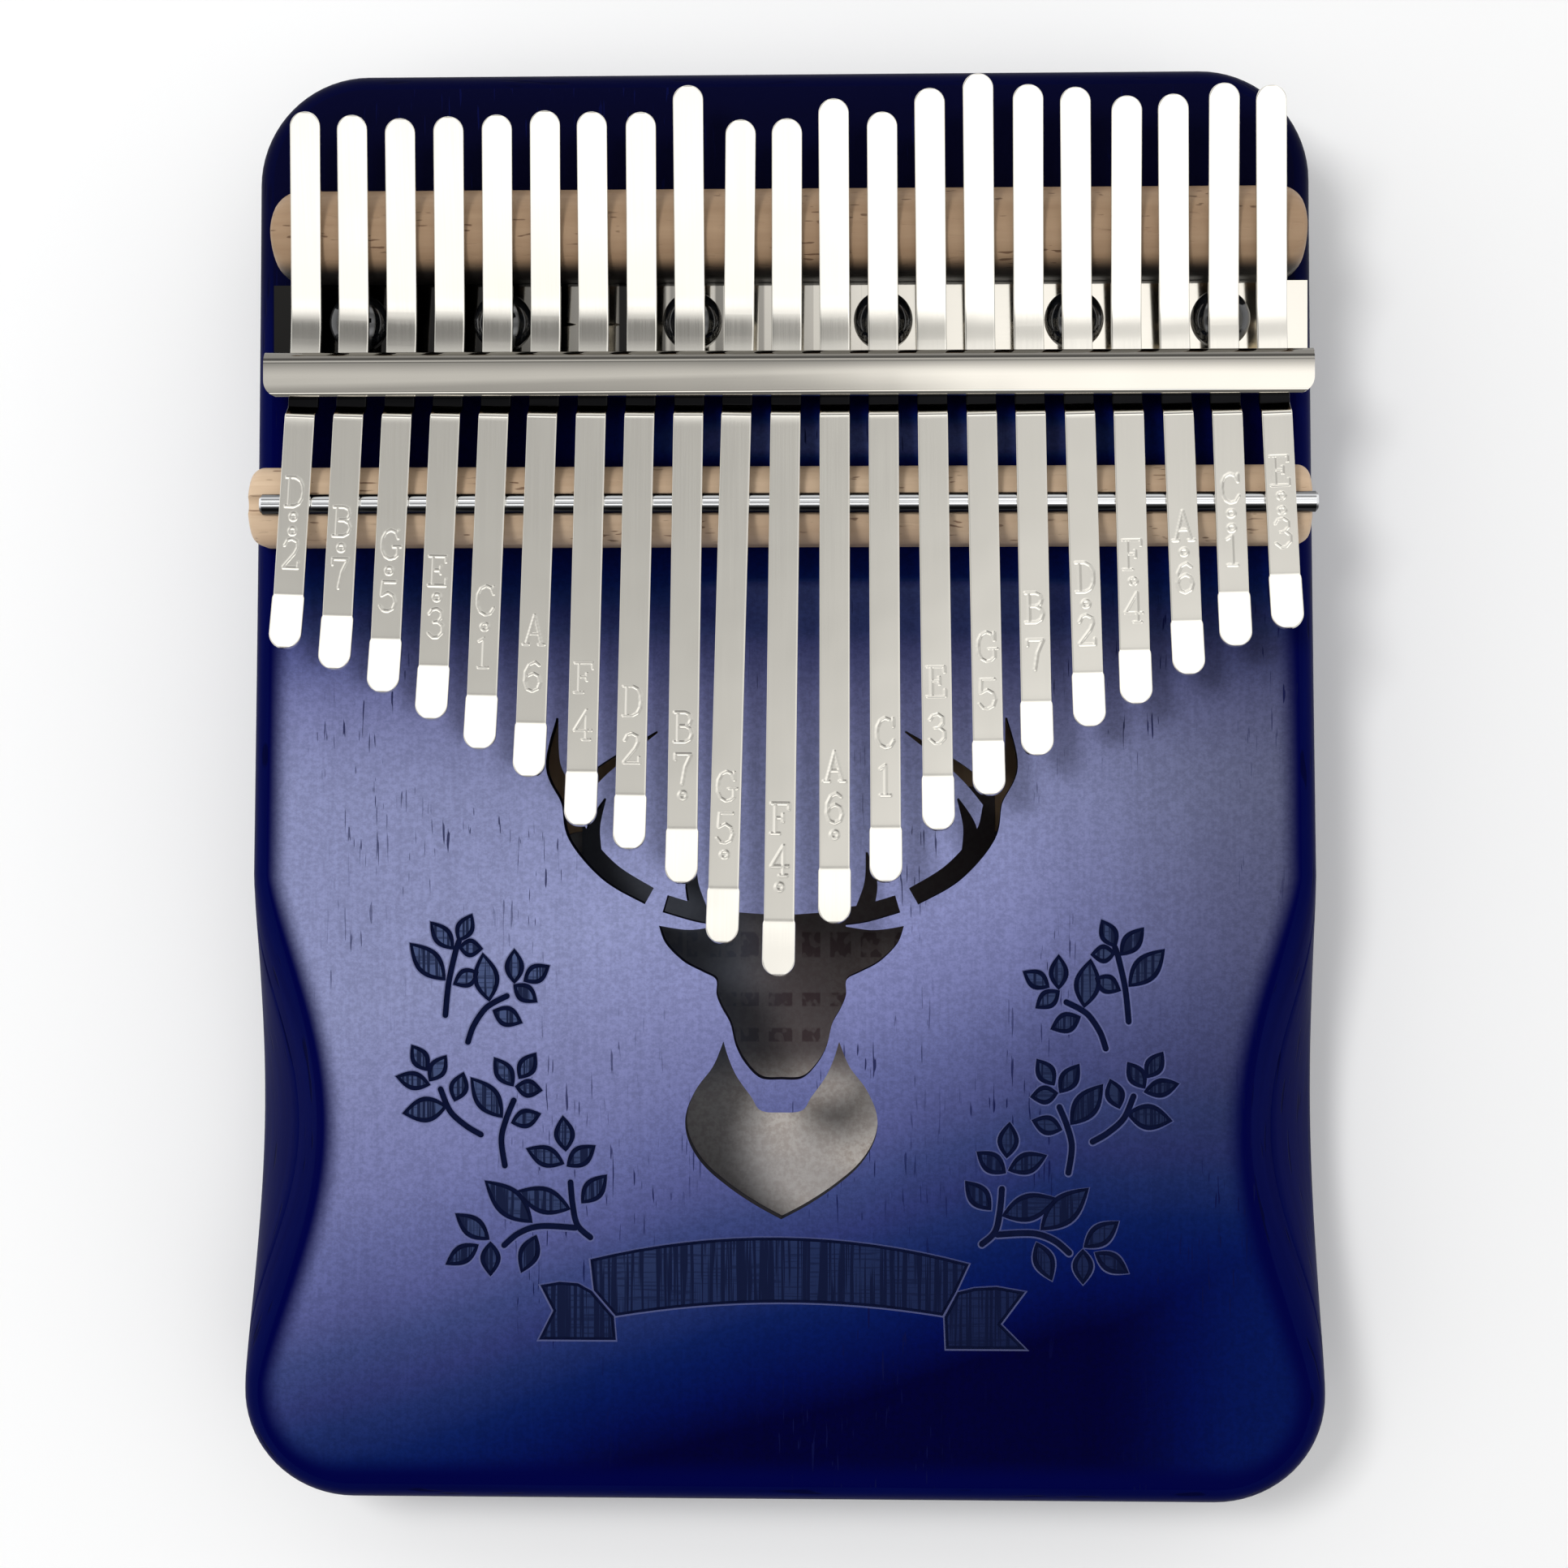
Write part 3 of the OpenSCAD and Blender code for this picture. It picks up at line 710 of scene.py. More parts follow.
def smooth_closed(points, steps=8):
    """A smooth closed curve; a point given twice is a sharp corner."""
    n = len(points)
    return [
        catmull(points[i - 1], points[i], points[(i + 1) % n], points[(i + 2) % n], k / steps)
        for i in range(n) if points[i] != points[(i + 1) % n]
        for k in range(steps)
    ]


def smooth_open(points, steps=8):
    n = len(points)
    made = [
        catmull(points[max(i - 1, 0)], points[i], points[i + 1], points[min(i + 2, n - 1)], k / steps)
        for i in range(n - 1) for k in range(steps)
    ]
    return made + [tuple(points[-1])]


def both_halves(half):
    """A whole outline from its half on the +X side."""
    return half + [(-x, y) for x, y in reversed(half) if x != 0]


def mirrored(points, right=0.0, down=0.0):
    """The mirror image of the points, moved by the given amounts."""
    return [(right - x, y - down) for x, y in reversed(points)]


def ribbon_sides(points, widths):
    """The two sides of a strip that runs along the points with the given width at each."""
    left, right = [], []
    for i, (p, w) in enumerate(zip(points, widths)):
        a, b = points[max(i - 1, 0)], points[min(i + 1, len(points) - 1)]
        length = math.hypot(b[0] - a[0], b[1] - a[1])
        nx, ny = -(b[1] - a[1]) / length, (b[0] - a[0]) / length
        left.append((p[0] + nx * w / 2, p[1] + ny * w / 2))
        right.append((p[0] - nx * w / 2, p[1] - ny * w / 2))
    return left, right


def turned_left(polygon):
    """The polygon in counter-clockwise order."""
    area = sum(a[0] * b[1] - b[0] * a[1] for a, b in zip(polygon, polygon[1:] + polygon[:1]))
    return polygon if area > 0 else polygon[::-1]


def prisms(name, polygons, low, high, paint):
    """One mesh of upright prisms, none of which may touch another."""
    points, faces = [], []
    for polygon in polygons:
        polygon = turned_left(polygon)
        base, n = len(points), len(polygon)
        points += [(x, y, low) for x, y in polygon] + [(x, y, high) for x, y in polygon]
        faces += [tuple(base + i for i in f) for f in ring_faces(2, n)]
    return add_mesh(name, points, faces, [paint])


def pockets(name, ring_sets, heights, shades_of):
    """Cutters made of stacked outlines of the same number of points, one paint number per step."""
    points, faces, shades = [], [], []
    for rings in ring_sets:
        rings = [turned_left(r) for r in rings]
        base, n = len(points), len(rings[0])
        for r, z in zip(rings, heights):
            points += [(x, y, z) for x, y in r]
        faces.append(tuple(base + i for i in range(n)))
        shades.append(0)
        for j in range(len(rings) - 1):
            for i in range(n):
                k = (i + 1) % n
                low, high = base + j * n, base + (j + 1) * n
                faces.append((low + k, low + i, high + i, high + k))
                shades.append(shades_of[j])
        faces.append(tuple(base + (len(rings) - 1) * n + i for i in range(n - 1, -1, -1)))
        shades.append(shades_of[-1])
    return add_mesh(name, points, faces, [groove_paint, hatch_paint, lip_paint], shades)


# ---- The stag-shaped sound hole

HEAD_HALF = [
    (0, -18.6), (4, -18.4), (9, -18), (9, -18), (9.4, -20.3), (9.4, -20.3), (13.5, -20.8),
    (17.8, -20.2), (17.8, -20.2), (16.8, -22.8), (14.2, -25.4), (11.4, -26.9), (9.5, -28), (9.4, -30.2),
    (8.6, -32.2), (7.4, -34.4), (6.6, -37.6), (5.2, -40.2), (3, -42.3), (0, -42.5),
]
CHEST_HALF = [
    (0, -47.3), (3, -47), (4.4, -45), (6.4, -42.2), (7.6, -39.6), (8.4, -37), (8.4, -37), (9.9, -40.6),
    (12.4, -44), (13.9, -47.8), (13.5, -51.4), (11.3, -55), (7.6, -58.2), (3.7, -60.8), (0, -62.8),
    (0, -62.8),
]
ANTLERS = [
    ([(19.2, -15.9), (25, -12.4), (29.6, -7), (30.8, -2), (33.2, 3), (32.6, 10)],
     [2.7, 3, 3, 2.6, 2.2, 0.3]),
    ([(30.4, -2), (26, 2.4), (18, 8)], [2.6, 1.7, 0.3]),
    ([(27.4, -9.8), (27.3, -5.8), (25.6, -1.7)], [2.6, 1.9, 0.3]),
    ([(8, -18.9), (12, -18.4), (16.9, -17)], [2.6, 2.6, 2.6]),
    ([(12, -18), (13, -14), (12.4, -9.5)], [2.6, 1.9, 0.3]),
]


def antler(k):
    points, widths = ANTLERS[k]
    curve = smooth_open([(x, y, w) for (x, y), w in zip(points, widths)])
    left, right = ribbon_sides([c[:2] for c in curve], [max(c[2], 0.2) for c in curve])
    return left + right[::-1]


def hole_groups():
    """Groups of hole outlines in which none touches another."""
    beams = [antler(k) for k in range(len(ANTLERS))]
    first = [smooth_closed(both_halves(HEAD_HALF)), smooth_closed(both_halves(CHEST_HALF))]
    yield first + [beams[0], mirrored(beams[0])]
    for pair in ((1, 3), (2, 4)):
        yield [beams[k] for k in pair] + [mirrored(beams[k]) for k in pair]


# ---- The engraved leaf sprigs and the blank ribbon

STEMS = [
    [(-49, -33.3), (-48.5, -28.5), (-47.5, -24), (-47, -22.5)],
    [(-45.7, -37.2), (-44.9, -34.9), (-43.4, -32.6), (-42, -31.5), (-40, -30.5)],
    [(-43.8, -50.7), (-46, -49.4), (-48.3, -47.3), (-49.7, -44.1)],
    [(-40.3, -55.2), (-40.8, -51.4), (-40.1, -48.4), (-39, -45.7)],
    [(-40.4, -66.8), (-38.2, -65), (-35.1, -64), (-30, -64.2)],
    [(-30.7, -57.6), (-30.4, -60.8), (-29.7, -63.8), (-27.8, -65.6)],
]
# Each leaf: its tip, its base and its greatest width
LEAVES = [
    ((-54, -23), (-49.2, -28), 3.2), ((-51, -19.9), (-48, -23.5), 2.2),
    ((-45.2, -18.8), (-47, -22.3), 2.1), ((-43.8, -23.6), (-46.8, -23.4), 2.1),
    ((-47.6, -28.7), (-44.4, -27.1), 2.2), ((-43.5, -24.5), (-42.6, -31), 3.2),
    ((-38.9, -23.9), (-38.9, -28.4), 2.2), ((-34, -26.2), (-37.3, -28.2), 2.2),
    ((-35.8, -31.2), (-38.8, -29), 2.1), ((-38, -34.3), (-41.8, -32.7), 2.4),
    ((-53.8, -37.9), (-51.7, -41.2), 2.1), ((-49, -39.4), (-51.2, -42.7), 2.1),
    ((-56, -42.3), (-51.5, -43.4), 2.1), ((-55, -47.6), (-49, -46.6), 3.1),
    ((-46.4, -41.9), (-47.6, -45.6), 2.2), ((-45.1, -42.6), (-40.8, -48), 3.1),
    ((-41.7, -39.7), (-39.2, -43.4), 2.2), ((-35.9, -39), (-38.1, -42.3), 2.2),
    ((-35.1, -44.2), (-38.5, -43.7), 2.1), ((-35.3, -47.7), (-39.1, -48.9), 2.2),
    ((-31.8, -48.2), (-31.4, -52.8), 2.4), ((-36.9, -52.8), (-31.9, -54.8), 2.5),
    ((-27.3, -52.4), (-31, -55.1), 2.4), ((-25.6, -56.7), (-28.9, -60.4), 2.5),
    ((-43, -57.6), (-36.5, -63.3), 3.6), ((-38.4, -59), (-31, -61.4), 3.3),
    ((-47.3, -62.4), (-42.8, -65.8), 2.5), ((-48.7, -69.5), (-44.4, -66.9), 2.2),
    ((-42.4, -71), (-42.4, -66.6), 2.3), ((-37.8, -70.5), (-35.8, -65.6), 2.4),
]
SPRIG_SHIFT = (1.3, 0.7)   # the right-hand sprigs sit this much further right and lower than a mirror image
GROOVE = 0.34       # half of a groove's width
LIP_WIDTH = 0.22    # width of the rounded lip round each engraving
POCKET_HEIGHTS = [BODY_HEIGHT + 1, BODY_HEIGHT, BODY_HEIGHT - 0.06, BODY_HEIGHT - 0.18, BODY_HEIGHT - 0.38,
                  BODY_HEIGHT - 0.38, BODY_HEIGHT - 0.16]
POCKET_PAINTS = [0, 2, 2, 0, 0, 0, 1]


def leaf(tip, base, width, grow):
    """A leaf that is pointed at its tip and narrow at its base, grown outwards by the given amount."""
    dx, dy = tip[0] - base[0], tip[1] - base[1]
    length = math.hypot(dx, dy)
    ux, uy = dx / length, dy / length
    length += 2 * grow
    half = width / 2 + grow
    side = [(t, half * math.sin(math.pi * t ** 0.94)) for t in (k / 14 for k in range(1, 14))]
    start = (base[0] - ux * grow, base[1] - uy * grow)

    def at(t, w):
        return (start[0] + ux * length * t - uy * w, start[1] + uy * length * t + ux * w)

    return [at(0, 0)] + [at(t, -w) for t, w in side] + [at(1, 0)] + [at(t, w) for t, w in reversed(side)]


def stem(points, wide):
    """The outline of a stem with rounded ends."""
    curve = smooth_open(points)
    left, right = ribbon_sides(curve, [wide] * len(curve))
    caps = []
    for end, before in ((curve[-1], curve[-2]), (curve[0], curve[1])):
        a = math.atan2(end[1] - before[1], end[0] - before[0])
        caps.append([
            (end[0] + wide / 2 * math.cos(a + turn), end[1] + wide / 2 * math.sin(a + turn))
            for turn in map(math.radians, (60, 30, 0, -30, -60))
        ])
    return left + caps[0] + right[::-1] + caps[1]


def shrunk(polygon, by):
    """The polygon moved inwards along its corners' own directions."""
    polygon = turned_left(polygon)
    made = []
    for i, p in enumerate(polygon):
        a, b = polygon[i - 1], polygon[(i + 1) % len(polygon)]
        da, db = math.hypot(p[0] - a[0], p[1] - a[1]), math.hypot(b[0] - p[0], b[1] - p[1])
        na = (-(p[1] - a[1]) / da, (p[0] - a[0]) / da)
        nb = (-(b[1] - p[1]) / db, (b[0] - p[0]) / db)
        m = 1 + na[0] * nb[0] + na[1] * nb[1]
        made.append((p[0] + by * (na[0] + nb[0]) / m, p[1] + by * (na[1] + nb[1]) / m))
    return made


def arc_between(a, middle, b, steps=16):
    """Points from a to b on a curve that passes through the middle point at its half way."""
    control = tuple(2 * middle[k] - (a[k] + b[k]) / 2 for k in (0, 1))
    return [on_curve(a, control, b, j / steps) for j in range(steps + 1)]


RIBBON = [
    arc_between((-27.8, -68.8), (-0.2, -65.5), (27.2, -69.2)) + [(25.3, -73.3)]
    + arc_between((23.4, -76.7), (-0.2, -74.9), (-24.1, -77)) + [(-27.3, -73.3)],
    [(-27.6, -73.4), (-24.4, -77.1), (-24.1, -80.5), (-35.3, -80.5), (-33.2, -76.3), (-35.1, -72.6),
     (-32.3, -72.1), (-29.6, -72.3)],
    [(25.6, -73.3), (28, -72.7), (31.2, -72.5), (35.3, -73.2), (31.8, -77.9), (35.4, -81.5), (23.9, -81.5),
     (23.7, -76.9)],
]


def leaf_groups():
    """Leaf outlines, left and right, in groups whose leaves do not touch."""
    for k in range(3):
        group = []
        for tip, base, width in LEAVES[k::3]:
            lip, mid, outer, inner = (leaf(tip, base, width, g)
                                      for g in (GROOVE + LIP_WIDTH, GROOVE + 0.1, GROOVE, -GROOVE))
            rings = [lip, lip, mid, outer, outer, inner, inner]
            group += [rings, [mirrored(r, *SPRIG_SHIFT) for r in rings]]
        yield group


def make_soundboard():
    rings = rings_of(board_stations)
    points = [p for r in rings for p in r]
    faces = ring_faces(len(rings), len(outline))
    shades = [1] * (EDGE_STEPS + 1) * len(outline)
    shades += [0] * (len(faces) - len(shades))
    board = add_mesh("kalimba_soundboard", points, faces, [board_paint, side_paint], shades)
    for k, group in enumerate(hole_groups()):
        cut(board, prisms(f"hole_{k}", group, BOARD_BOTTOM - 1, BODY_HEIGHT + 1, edge_paint))
    for k, group in enumerate(leaf_groups()):
        cut(board, pockets(f"leaves_{k}", group, POCKET_HEIGHTS, POCKET_PAINTS))
    for k, p in enumerate(RIBBON):
        lip, mid, inner = shrunk(p, -LIP_WIDTH), shrunk(p, -0.1), shrunk(p, 0.4)
        rings = [lip, lip, mid, turned_left(p), turned_left(p), inner, inner]
        heights = [z - 0.007 * k * (z < BODY_HEIGHT) for z in POCKET_HEIGHTS]
        cut(board, pockets(f"ribbon_{k}", [rings], heights, POCKET_PAINTS))
    for k, some in enumerate((STEMS[:5], STEMS[5:])):
        group = []
        for points in some:
            lip, mid, inner = (stem(points, w) for w in (0.85 + 2 * LIP_WIDTH, 1.05, 0.85))
            rings = [lip, lip, mid, inner, inner]
            group += [rings, [mirrored(r, *SPRIG_SHIFT) for r in rings]]
        heights = [z - 0.004 * (z < BODY_HEIGHT) for z in POCKET_HEIGHTS[:5]]
        cut(board, pockets(f"stems_{k}", group, heights, [0, 2, 2, 0, 0]))
    soften(board)
    weighted(board)
    return board


def make_rim():
    rings = rings_of(rim_stations)
    insets = [WALL + (SCOOP_WIDTH - EDGE_WIDTH) * scoop(y) for _, y in outline]
    inner = [
        (p[0] + d[0] * inset, p[1] + d[1] * inset)
        for p, d, inset in zip(outline, inward, insets)
    ]
    n = len(outline)
    rings += [[(x, y, BOARD_BOTTOM) for x, y in inner], [(x, y, BACK_TOP) for x, y in inner]]
    points = [p for r in rings for p in r]
    faces = ring_faces(len(rings), n, closed_ends=False)
    last = (len(rings) - 1) * n
    faces += [(last + i, last + (i + 1) % n, (i + 1) % n, i) for i in range(n)]
    outside = len(rings) - 3
    shades = [0] * (outside * n) + [1] * (len(faces) - outside * n)
    rim = add_mesh("kalimba_sides", points, faces, [side_paint, inner_paint], shades)
    soften(rim)
    return rim


def circle(x, y, radius, steps):
    turns = [2 * math.pi * k / steps for k in range(steps)]
    return [(x + radius * math.cos(a), y + radius * math.sin(a)) for a in turns]


def make_back():
    rings = rings_of(back_stations)
    faces = ring_faces(len(rings), len(outline))
    shades = [0] * (len(faces) - 1) + [1]
    back = add_mesh("kalimba_back", [p for r in rings for p in r], faces, [back_paint, inner_paint], shades)
    profile = [(0.5, -0.5), (0.5, -0.001), (0.1, 0.35), (0, 0.6), (0, BACK_TOP + 1)]
    points, faces = [], []
    for x in (-VIBRATO_X, VIBRATO_X):
        base, n = len(points), 64
        for wider, z in profile:
            points += [(px, py, z) for px, py in circle(x, VIBRATO_Y, VIBRATO_RADIUS + wider, n)]
        faces += [tuple(base + i for i in f) for f in ring_faces(len(profile), n)]
    cut(back, add_mesh("vibrato", points, faces, [edge_paint]))
    soften(back)
    weighted(back)
    return back


def fix(obj, node):
    """Fixes a piece to the sound box, in place of a CAD node."""
    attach(obj, "sound_box")
    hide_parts(node)


fix(make_soundboard(), "soundboard")
fix(make_rim(), "body_rim")
fix(make_back(), "back_plate")


# ---- Wooden bridges, rod, bracket and screws

def wooden_bar(name, length, width, height, foot, end_radius, shift, y, groove=None):
    """A bar of the CAD's section with rounded ends, as rings along its length."""
    arc_steps = 28
    chamfer = 0.3
    section = [(-width / 2 + chamfer, 0), (width / 2 - chamfer, 0), (width / 2, chamfer)]
    for k in range(arc_steps + 1):
        a = math.pi * k / arc_steps
        section.append((width / 2 * math.cos(a), foot + (height - foot) * math.sin(a)))
    section += [(-width / 2, chamfer)]
    half = length / 2
    rings = []
    stops = 10
    edge = 0.35
    lengths = [-half + end_radius * (1 - math.cos(math.pi / 2 * k / stops)) for k in range(stops + 1)]
    lengths += [-half + end_radius + (length - 2 * end_radius) * k / 6 for k in range(1, 6)]
    lengths += [-v for v in lengths[stops::-1]]
    for x in lengths:
        into = end_radius - (half - abs(x))
        narrow = end_radius - math.sqrt(max(end_radius ** 2 - max(into, 0) ** 2, 0))
        share = (width / 2 - narrow) / (width / 2)
        drop = max(0, edge - (half - abs(x)))
        rings.append([(x, v * share, z - drop * (z > foot)) for v, z in section])
    points = [(x + shift, v + y, z + BODY_HEIGHT) for r in rings for x, v, z in r]
    bar = add_mesh(name, points, ring_faces(len(rings), len(section)), [beech_paint])
    if groove:
        cut(bar, groove)
    soften(bar, 38)
    return bar


def rod_mesh(name, radius, length, steps, paint, edge):
    half = length / 2
    small = radius - edge
    stations = ((-half, small), (-half + edge, radius), (half - edge, radius), (half, small))
    points = [(x + HARDWARE_X, y, z) for x, r in stations
              for y, z in circle(ROD_Y, BODY_HEIGHT + ROD_Z, r, steps)]
    return add_mesh(name, points, ring_faces(4, steps), [paint])


nut = wooden_bar("kalimba_upper_bridge", NUT_LENGTH, NUT_WIDTH, NUT_HEIGHT, NUT_FOOT, NUT_END_RADIUS,
                 HARDWARE_X, NUT_Y)
rod_groove = rod_mesh("rod_groove", ROD_RADIUS + 0.1, BRIDGE_LENGTH + 4, 64, beech_paint, 0.01)
lower = wooden_bar("kalimba_lower_bridge", BRIDGE_LENGTH, BRIDGE_WIDTH, BRIDGE_HEIGHT, BRIDGE_FOOT,
                   BRIDGE_END_RADIUS, BRIDGE_X, ROD_Y, rod_groove)
rod = rod_mesh("kalimba_rod", ROD_RADIUS, ROD_LENGTH, 96, rod_paint, 0.35)
soften(rod, 40)
fix(nut, "upper_bridge")
fix(lower, "lower_bridge")
fix(rod, "bridge_rod")


def refined(node, name, paint, bevel):
    """A copy of a CAD node's mesh with its edges broken, for pieces whose CAD shape is already right."""
    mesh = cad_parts[node].data.copy()
    obj = bpy.data.objects.new(name, mesh)
    bpy.context.scene.collection.objects.link(obj)
    mesh.materials.clear()
    mesh.materials.append(paint)
    weld = obj.modifiers.new("weld", "WELD")
    weld.merge_threshold = 0.000002
    flat = obj.modifiers.new("flat", "DECIMATE")
    flat.decimate_type = "DISSOLVE"
    flat.angle_limit = math.radians(1.5)
    broken = obj.modifiers.new("broken", "BEVEL")
    broken.width = bevel * MM
    broken.segments = 3
    broken.limit_method = "ANGLE"
    broken.angle_limit = math.radians(35)
    broken.use_clamp_overlap = True
    settle(obj)
    soften(obj, 32)
    weighted(obj)
    return obj


fix(refined("clamp_bracket", "kalimba_bracket", bracket_paint, 0.15), "clamp_bracket")

SCREW_RADIUS, SCREW_DOME, SHANK_RADIUS, THREAD_FROM = 4.25, 2.6, 1.75, -12.4


def make_screw(k):
    low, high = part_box(f"clamp_screw_{k + 1}")
    x, y = (low.x + high.x) / 2 / MM, (low.y + high.y) / 2 / MM
    base = high.z / MM - SCREW_DOME
    steps = 72
    profile = [(0.01, -14), (0.9, -14), (SHANK_RADIUS, THREAD_FROM)]
    for t in range(12):
        profile += [(SHANK_RADIUS, THREAD_FROM + t + 0.02), (SHANK_RADIUS - 0.35, THREAD_FROM + t + 0.5)]
    profile += [(SHANK_RADIUS, 0), (SCREW_RADIUS - 0.25, 0), (SCREW_RADIUS, 0.25), (SCREW_RADIUS, 0.55)]
    for a in map(math.radians, range(8, 89, 8)):
        profile.append((SCREW_RADIUS * math.cos(a) ** 0.82, 0.55 + (SCREW_DOME - 0.55) * math.sin(a)))
    profile.append((0.01, SCREW_DOME))
    points = [(px, py, base + z) for r, z in profile for px, py in circle(x, y, r, steps)]
    screw = add_mesh(f"kalimba_screw_{k + 1}", points, ring_faces(len(profile), steps), [screw_paint])
    arm, half = 2.3, 0.5
    end = half * 0.7
    turn = math.radians(20 * k)
    cross = [(arm, -end), (arm, end), (half, half), (end, arm), (-end, arm), (-half, half),
             (-arm, end), (-arm, -end), (-half, -half), (-end, -arm), (end, -arm), (half, -half)]
    recess = []
    for size, z in ((0.35, SCREW_DOME - 1.7), (0.82, SCREW_DOME - 0.9), (1.05, SCREW_DOME + 0.6)):
        c, s = size * math.cos(turn), size * math.sin(turn)
        recess += [(x + a * c - b * s, y + a * s + b * c, base + z) for a, b in cross]
    cut(screw, add_mesh("recess", recess, ring_faces(3, len(cross)), [screw_paint]))
    soften(screw, 35)
    fix(screw, f"clamp_screw_{k + 1}")


for k in range(6):
    make_screw(k)

for node, paint in (("clamp_block", inner_paint), ("inner_label", label_paint)):
    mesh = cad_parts[node].data
    mesh.materials.clear()
    mesh.materials.append(paint)


# ---- Tines

def offset_path(under, by):
    """The path moved square to itself, upwards, with its corners kept."""
    def up(a, b):
        d = math.hypot(b[0] - a[0], b[1] - a[1])
        return ((b[1] - a[1]) / d, (a[0] - b[0]) / d)

    made = []
    last = len(under) - 1
    for i, p in enumerate(under):
        a = up(under[max(i, 1) - 1], under[max(i, 1)])
        b = up(under[min(i, last - 1)], under[min(i, last - 1) + 1])
        m = 1 + a[0] * b[0] + a[1] * b[1]
        made.append((p[0] + by * (a[0] + b[0]) / m, p[1] + by * (a[1] + b[1]) / m))
    return made


def rounded_path(points, radii, steps=5):
    """The path with an arc of the given radius at each inner corner."""
    made = [points[0]]
    for i in range(1, len(points) - 1):
        a, p, b = points[i - 1], points[i], points[i + 1]
        da, db = math.hypot(a[0] - p[0], a[1] - p[1]), math.hypot(b[0] - p[0], b[1] - p[1])
        ua = ((a[0] - p[0]) / da, (a[1] - p[1]) / da)
        ub = ((b[0] - p[0]) / db, (b[1] - p[1]) / db)
        bend = math.pi - math.acos(max(-1, min(1, ua[0] * ub[0] + ua[1] * ub[1])))
        if radii[i] <= 0 or bend < 0.002:
            made.append(p)
            continue
        reach = min(radii[i] * math.tan(bend / 2), 0.48 * da, 0.48 * db)
        start = (p[0] + ua[0] * reach, p[1] + ua[1] * reach)
        end = (p[0] + ub[0] * reach, p[1] + ub[1] * reach)
        for k in range(steps + 1):
            made.append(on_curve(start, p, end, k / steps))
    made.append(points[-1])
    return made


def on_straight(y):
    """A point of the under side of a tine's straight stretch over the rod."""
    return (y, UNDER_ROD + (ROD_Y - y) * RISE)


def tine_path(i):
    """The tine's middle line, from its tail's end to its tip, as points of Y and height."""
    tail_y = NUT_Y + TAILS[i]
    bend_y = NUT_Y - (UNDER_NUT - UNDER_BAR) / TAIL_SLOPE
    end_y = ROD_Y - SPEAKING[i]
    turn = on_straight(end_y + TIP_LENGTH)
    under = [(tail_y, UNDER_NUT + (tail_y - NUT_Y) * TAIL_SLOPE)]
    radii = [0]
    for k in range(12, -1, -1):
        t = k / 12
        under.append((bend_y + TAIL_BEND * (t - 0.5), UNDER_BAR + TAIL_SLOPE * TAIL_BEND * t * t / 2))
        radii.append(0)
    under += [(BAR_END_Y, UNDER_BAR), on_straight(KINK_Y), turn, (end_y, turn[1] + TIP_LENGTH * TIP_RISE)]
    radii += [0.8, 0.5, 5, 0]
    return rounded_path(offset_path(under, THICKNESS / 2), radii)


EDGE = 0.13         # rounding of a tine's long edges
TIP_CORNER, TAIL_CORNER, END_HALF = 2.15, 2.1, 0.2
WIDENING = 0.3      # length over which a tine widens to its tip
COLUMNS = 32
MARKS_FROM, MARKS_TO = 17.6, 2.6    # the marks' reach above the tip's start
FINE_STEP, COARSE_STEP = 0.13, 1.6  # between a tine's rings, at the marks and elsewhere


def spaced(path, fine_from, fine_to):
    """Points and directions along the path, close together where the engraving is and near the ends."""
    points = np.array(path)
    steps = np.hypot(*np.diff(points, axis=0).T)
    run = np.concatenate([[0], np.cumsum(steps)])
    total = run[-1]
    marks = set(np.round(run, 4))
    end = [0, 0.04, 0.09, 0.15, 0.25, 0.4, 0.6, 0.85, 1.15, 1.5, 1.9, 2.3]
    marks |= {round(e, 4) for e in end} | {round(total - e, 4) for e in end}
    at = 0
    while at < total:
        marks.add(round(at, 4))
        at += FINE_STEP if fine_from <= at <= fine_to else COARSE_STEP
    marks |= {round(v, 4) for v in np.arange(fine_from, fine_to, FINE_STEP)}
    kept = []
    for m in sorted(marks):
        if not kept or m - kept[-1] > 0.03:
            kept.append(m)
    kept[-1] = total
    kept = np.array(kept)
    y, z = np.interp(kept, run, points[:, 0]), np.interp(kept, run, points[:, 1])
    before, after = np.clip(kept - 0.05, 0, total), np.clip(kept + 0.05, 0, total)
    dy = np.interp(after, run, points[:, 0]) - np.interp(before, run, points[:, 0])
    dz = np.interp(after, run, points[:, 1]) - np.interp(before, run, points[:, 1])
    size = np.hypot(dy, dz)
    return kept, y, z, dy / size, dz / size, total


def corner_half_width(away, half, radius):
    """Half of the width at a distance from a rounded end."""
    if away >= radius:
        return half
    return half - radius + math.sqrt(max(radius ** 2 - (radius - away) ** 2, 0))


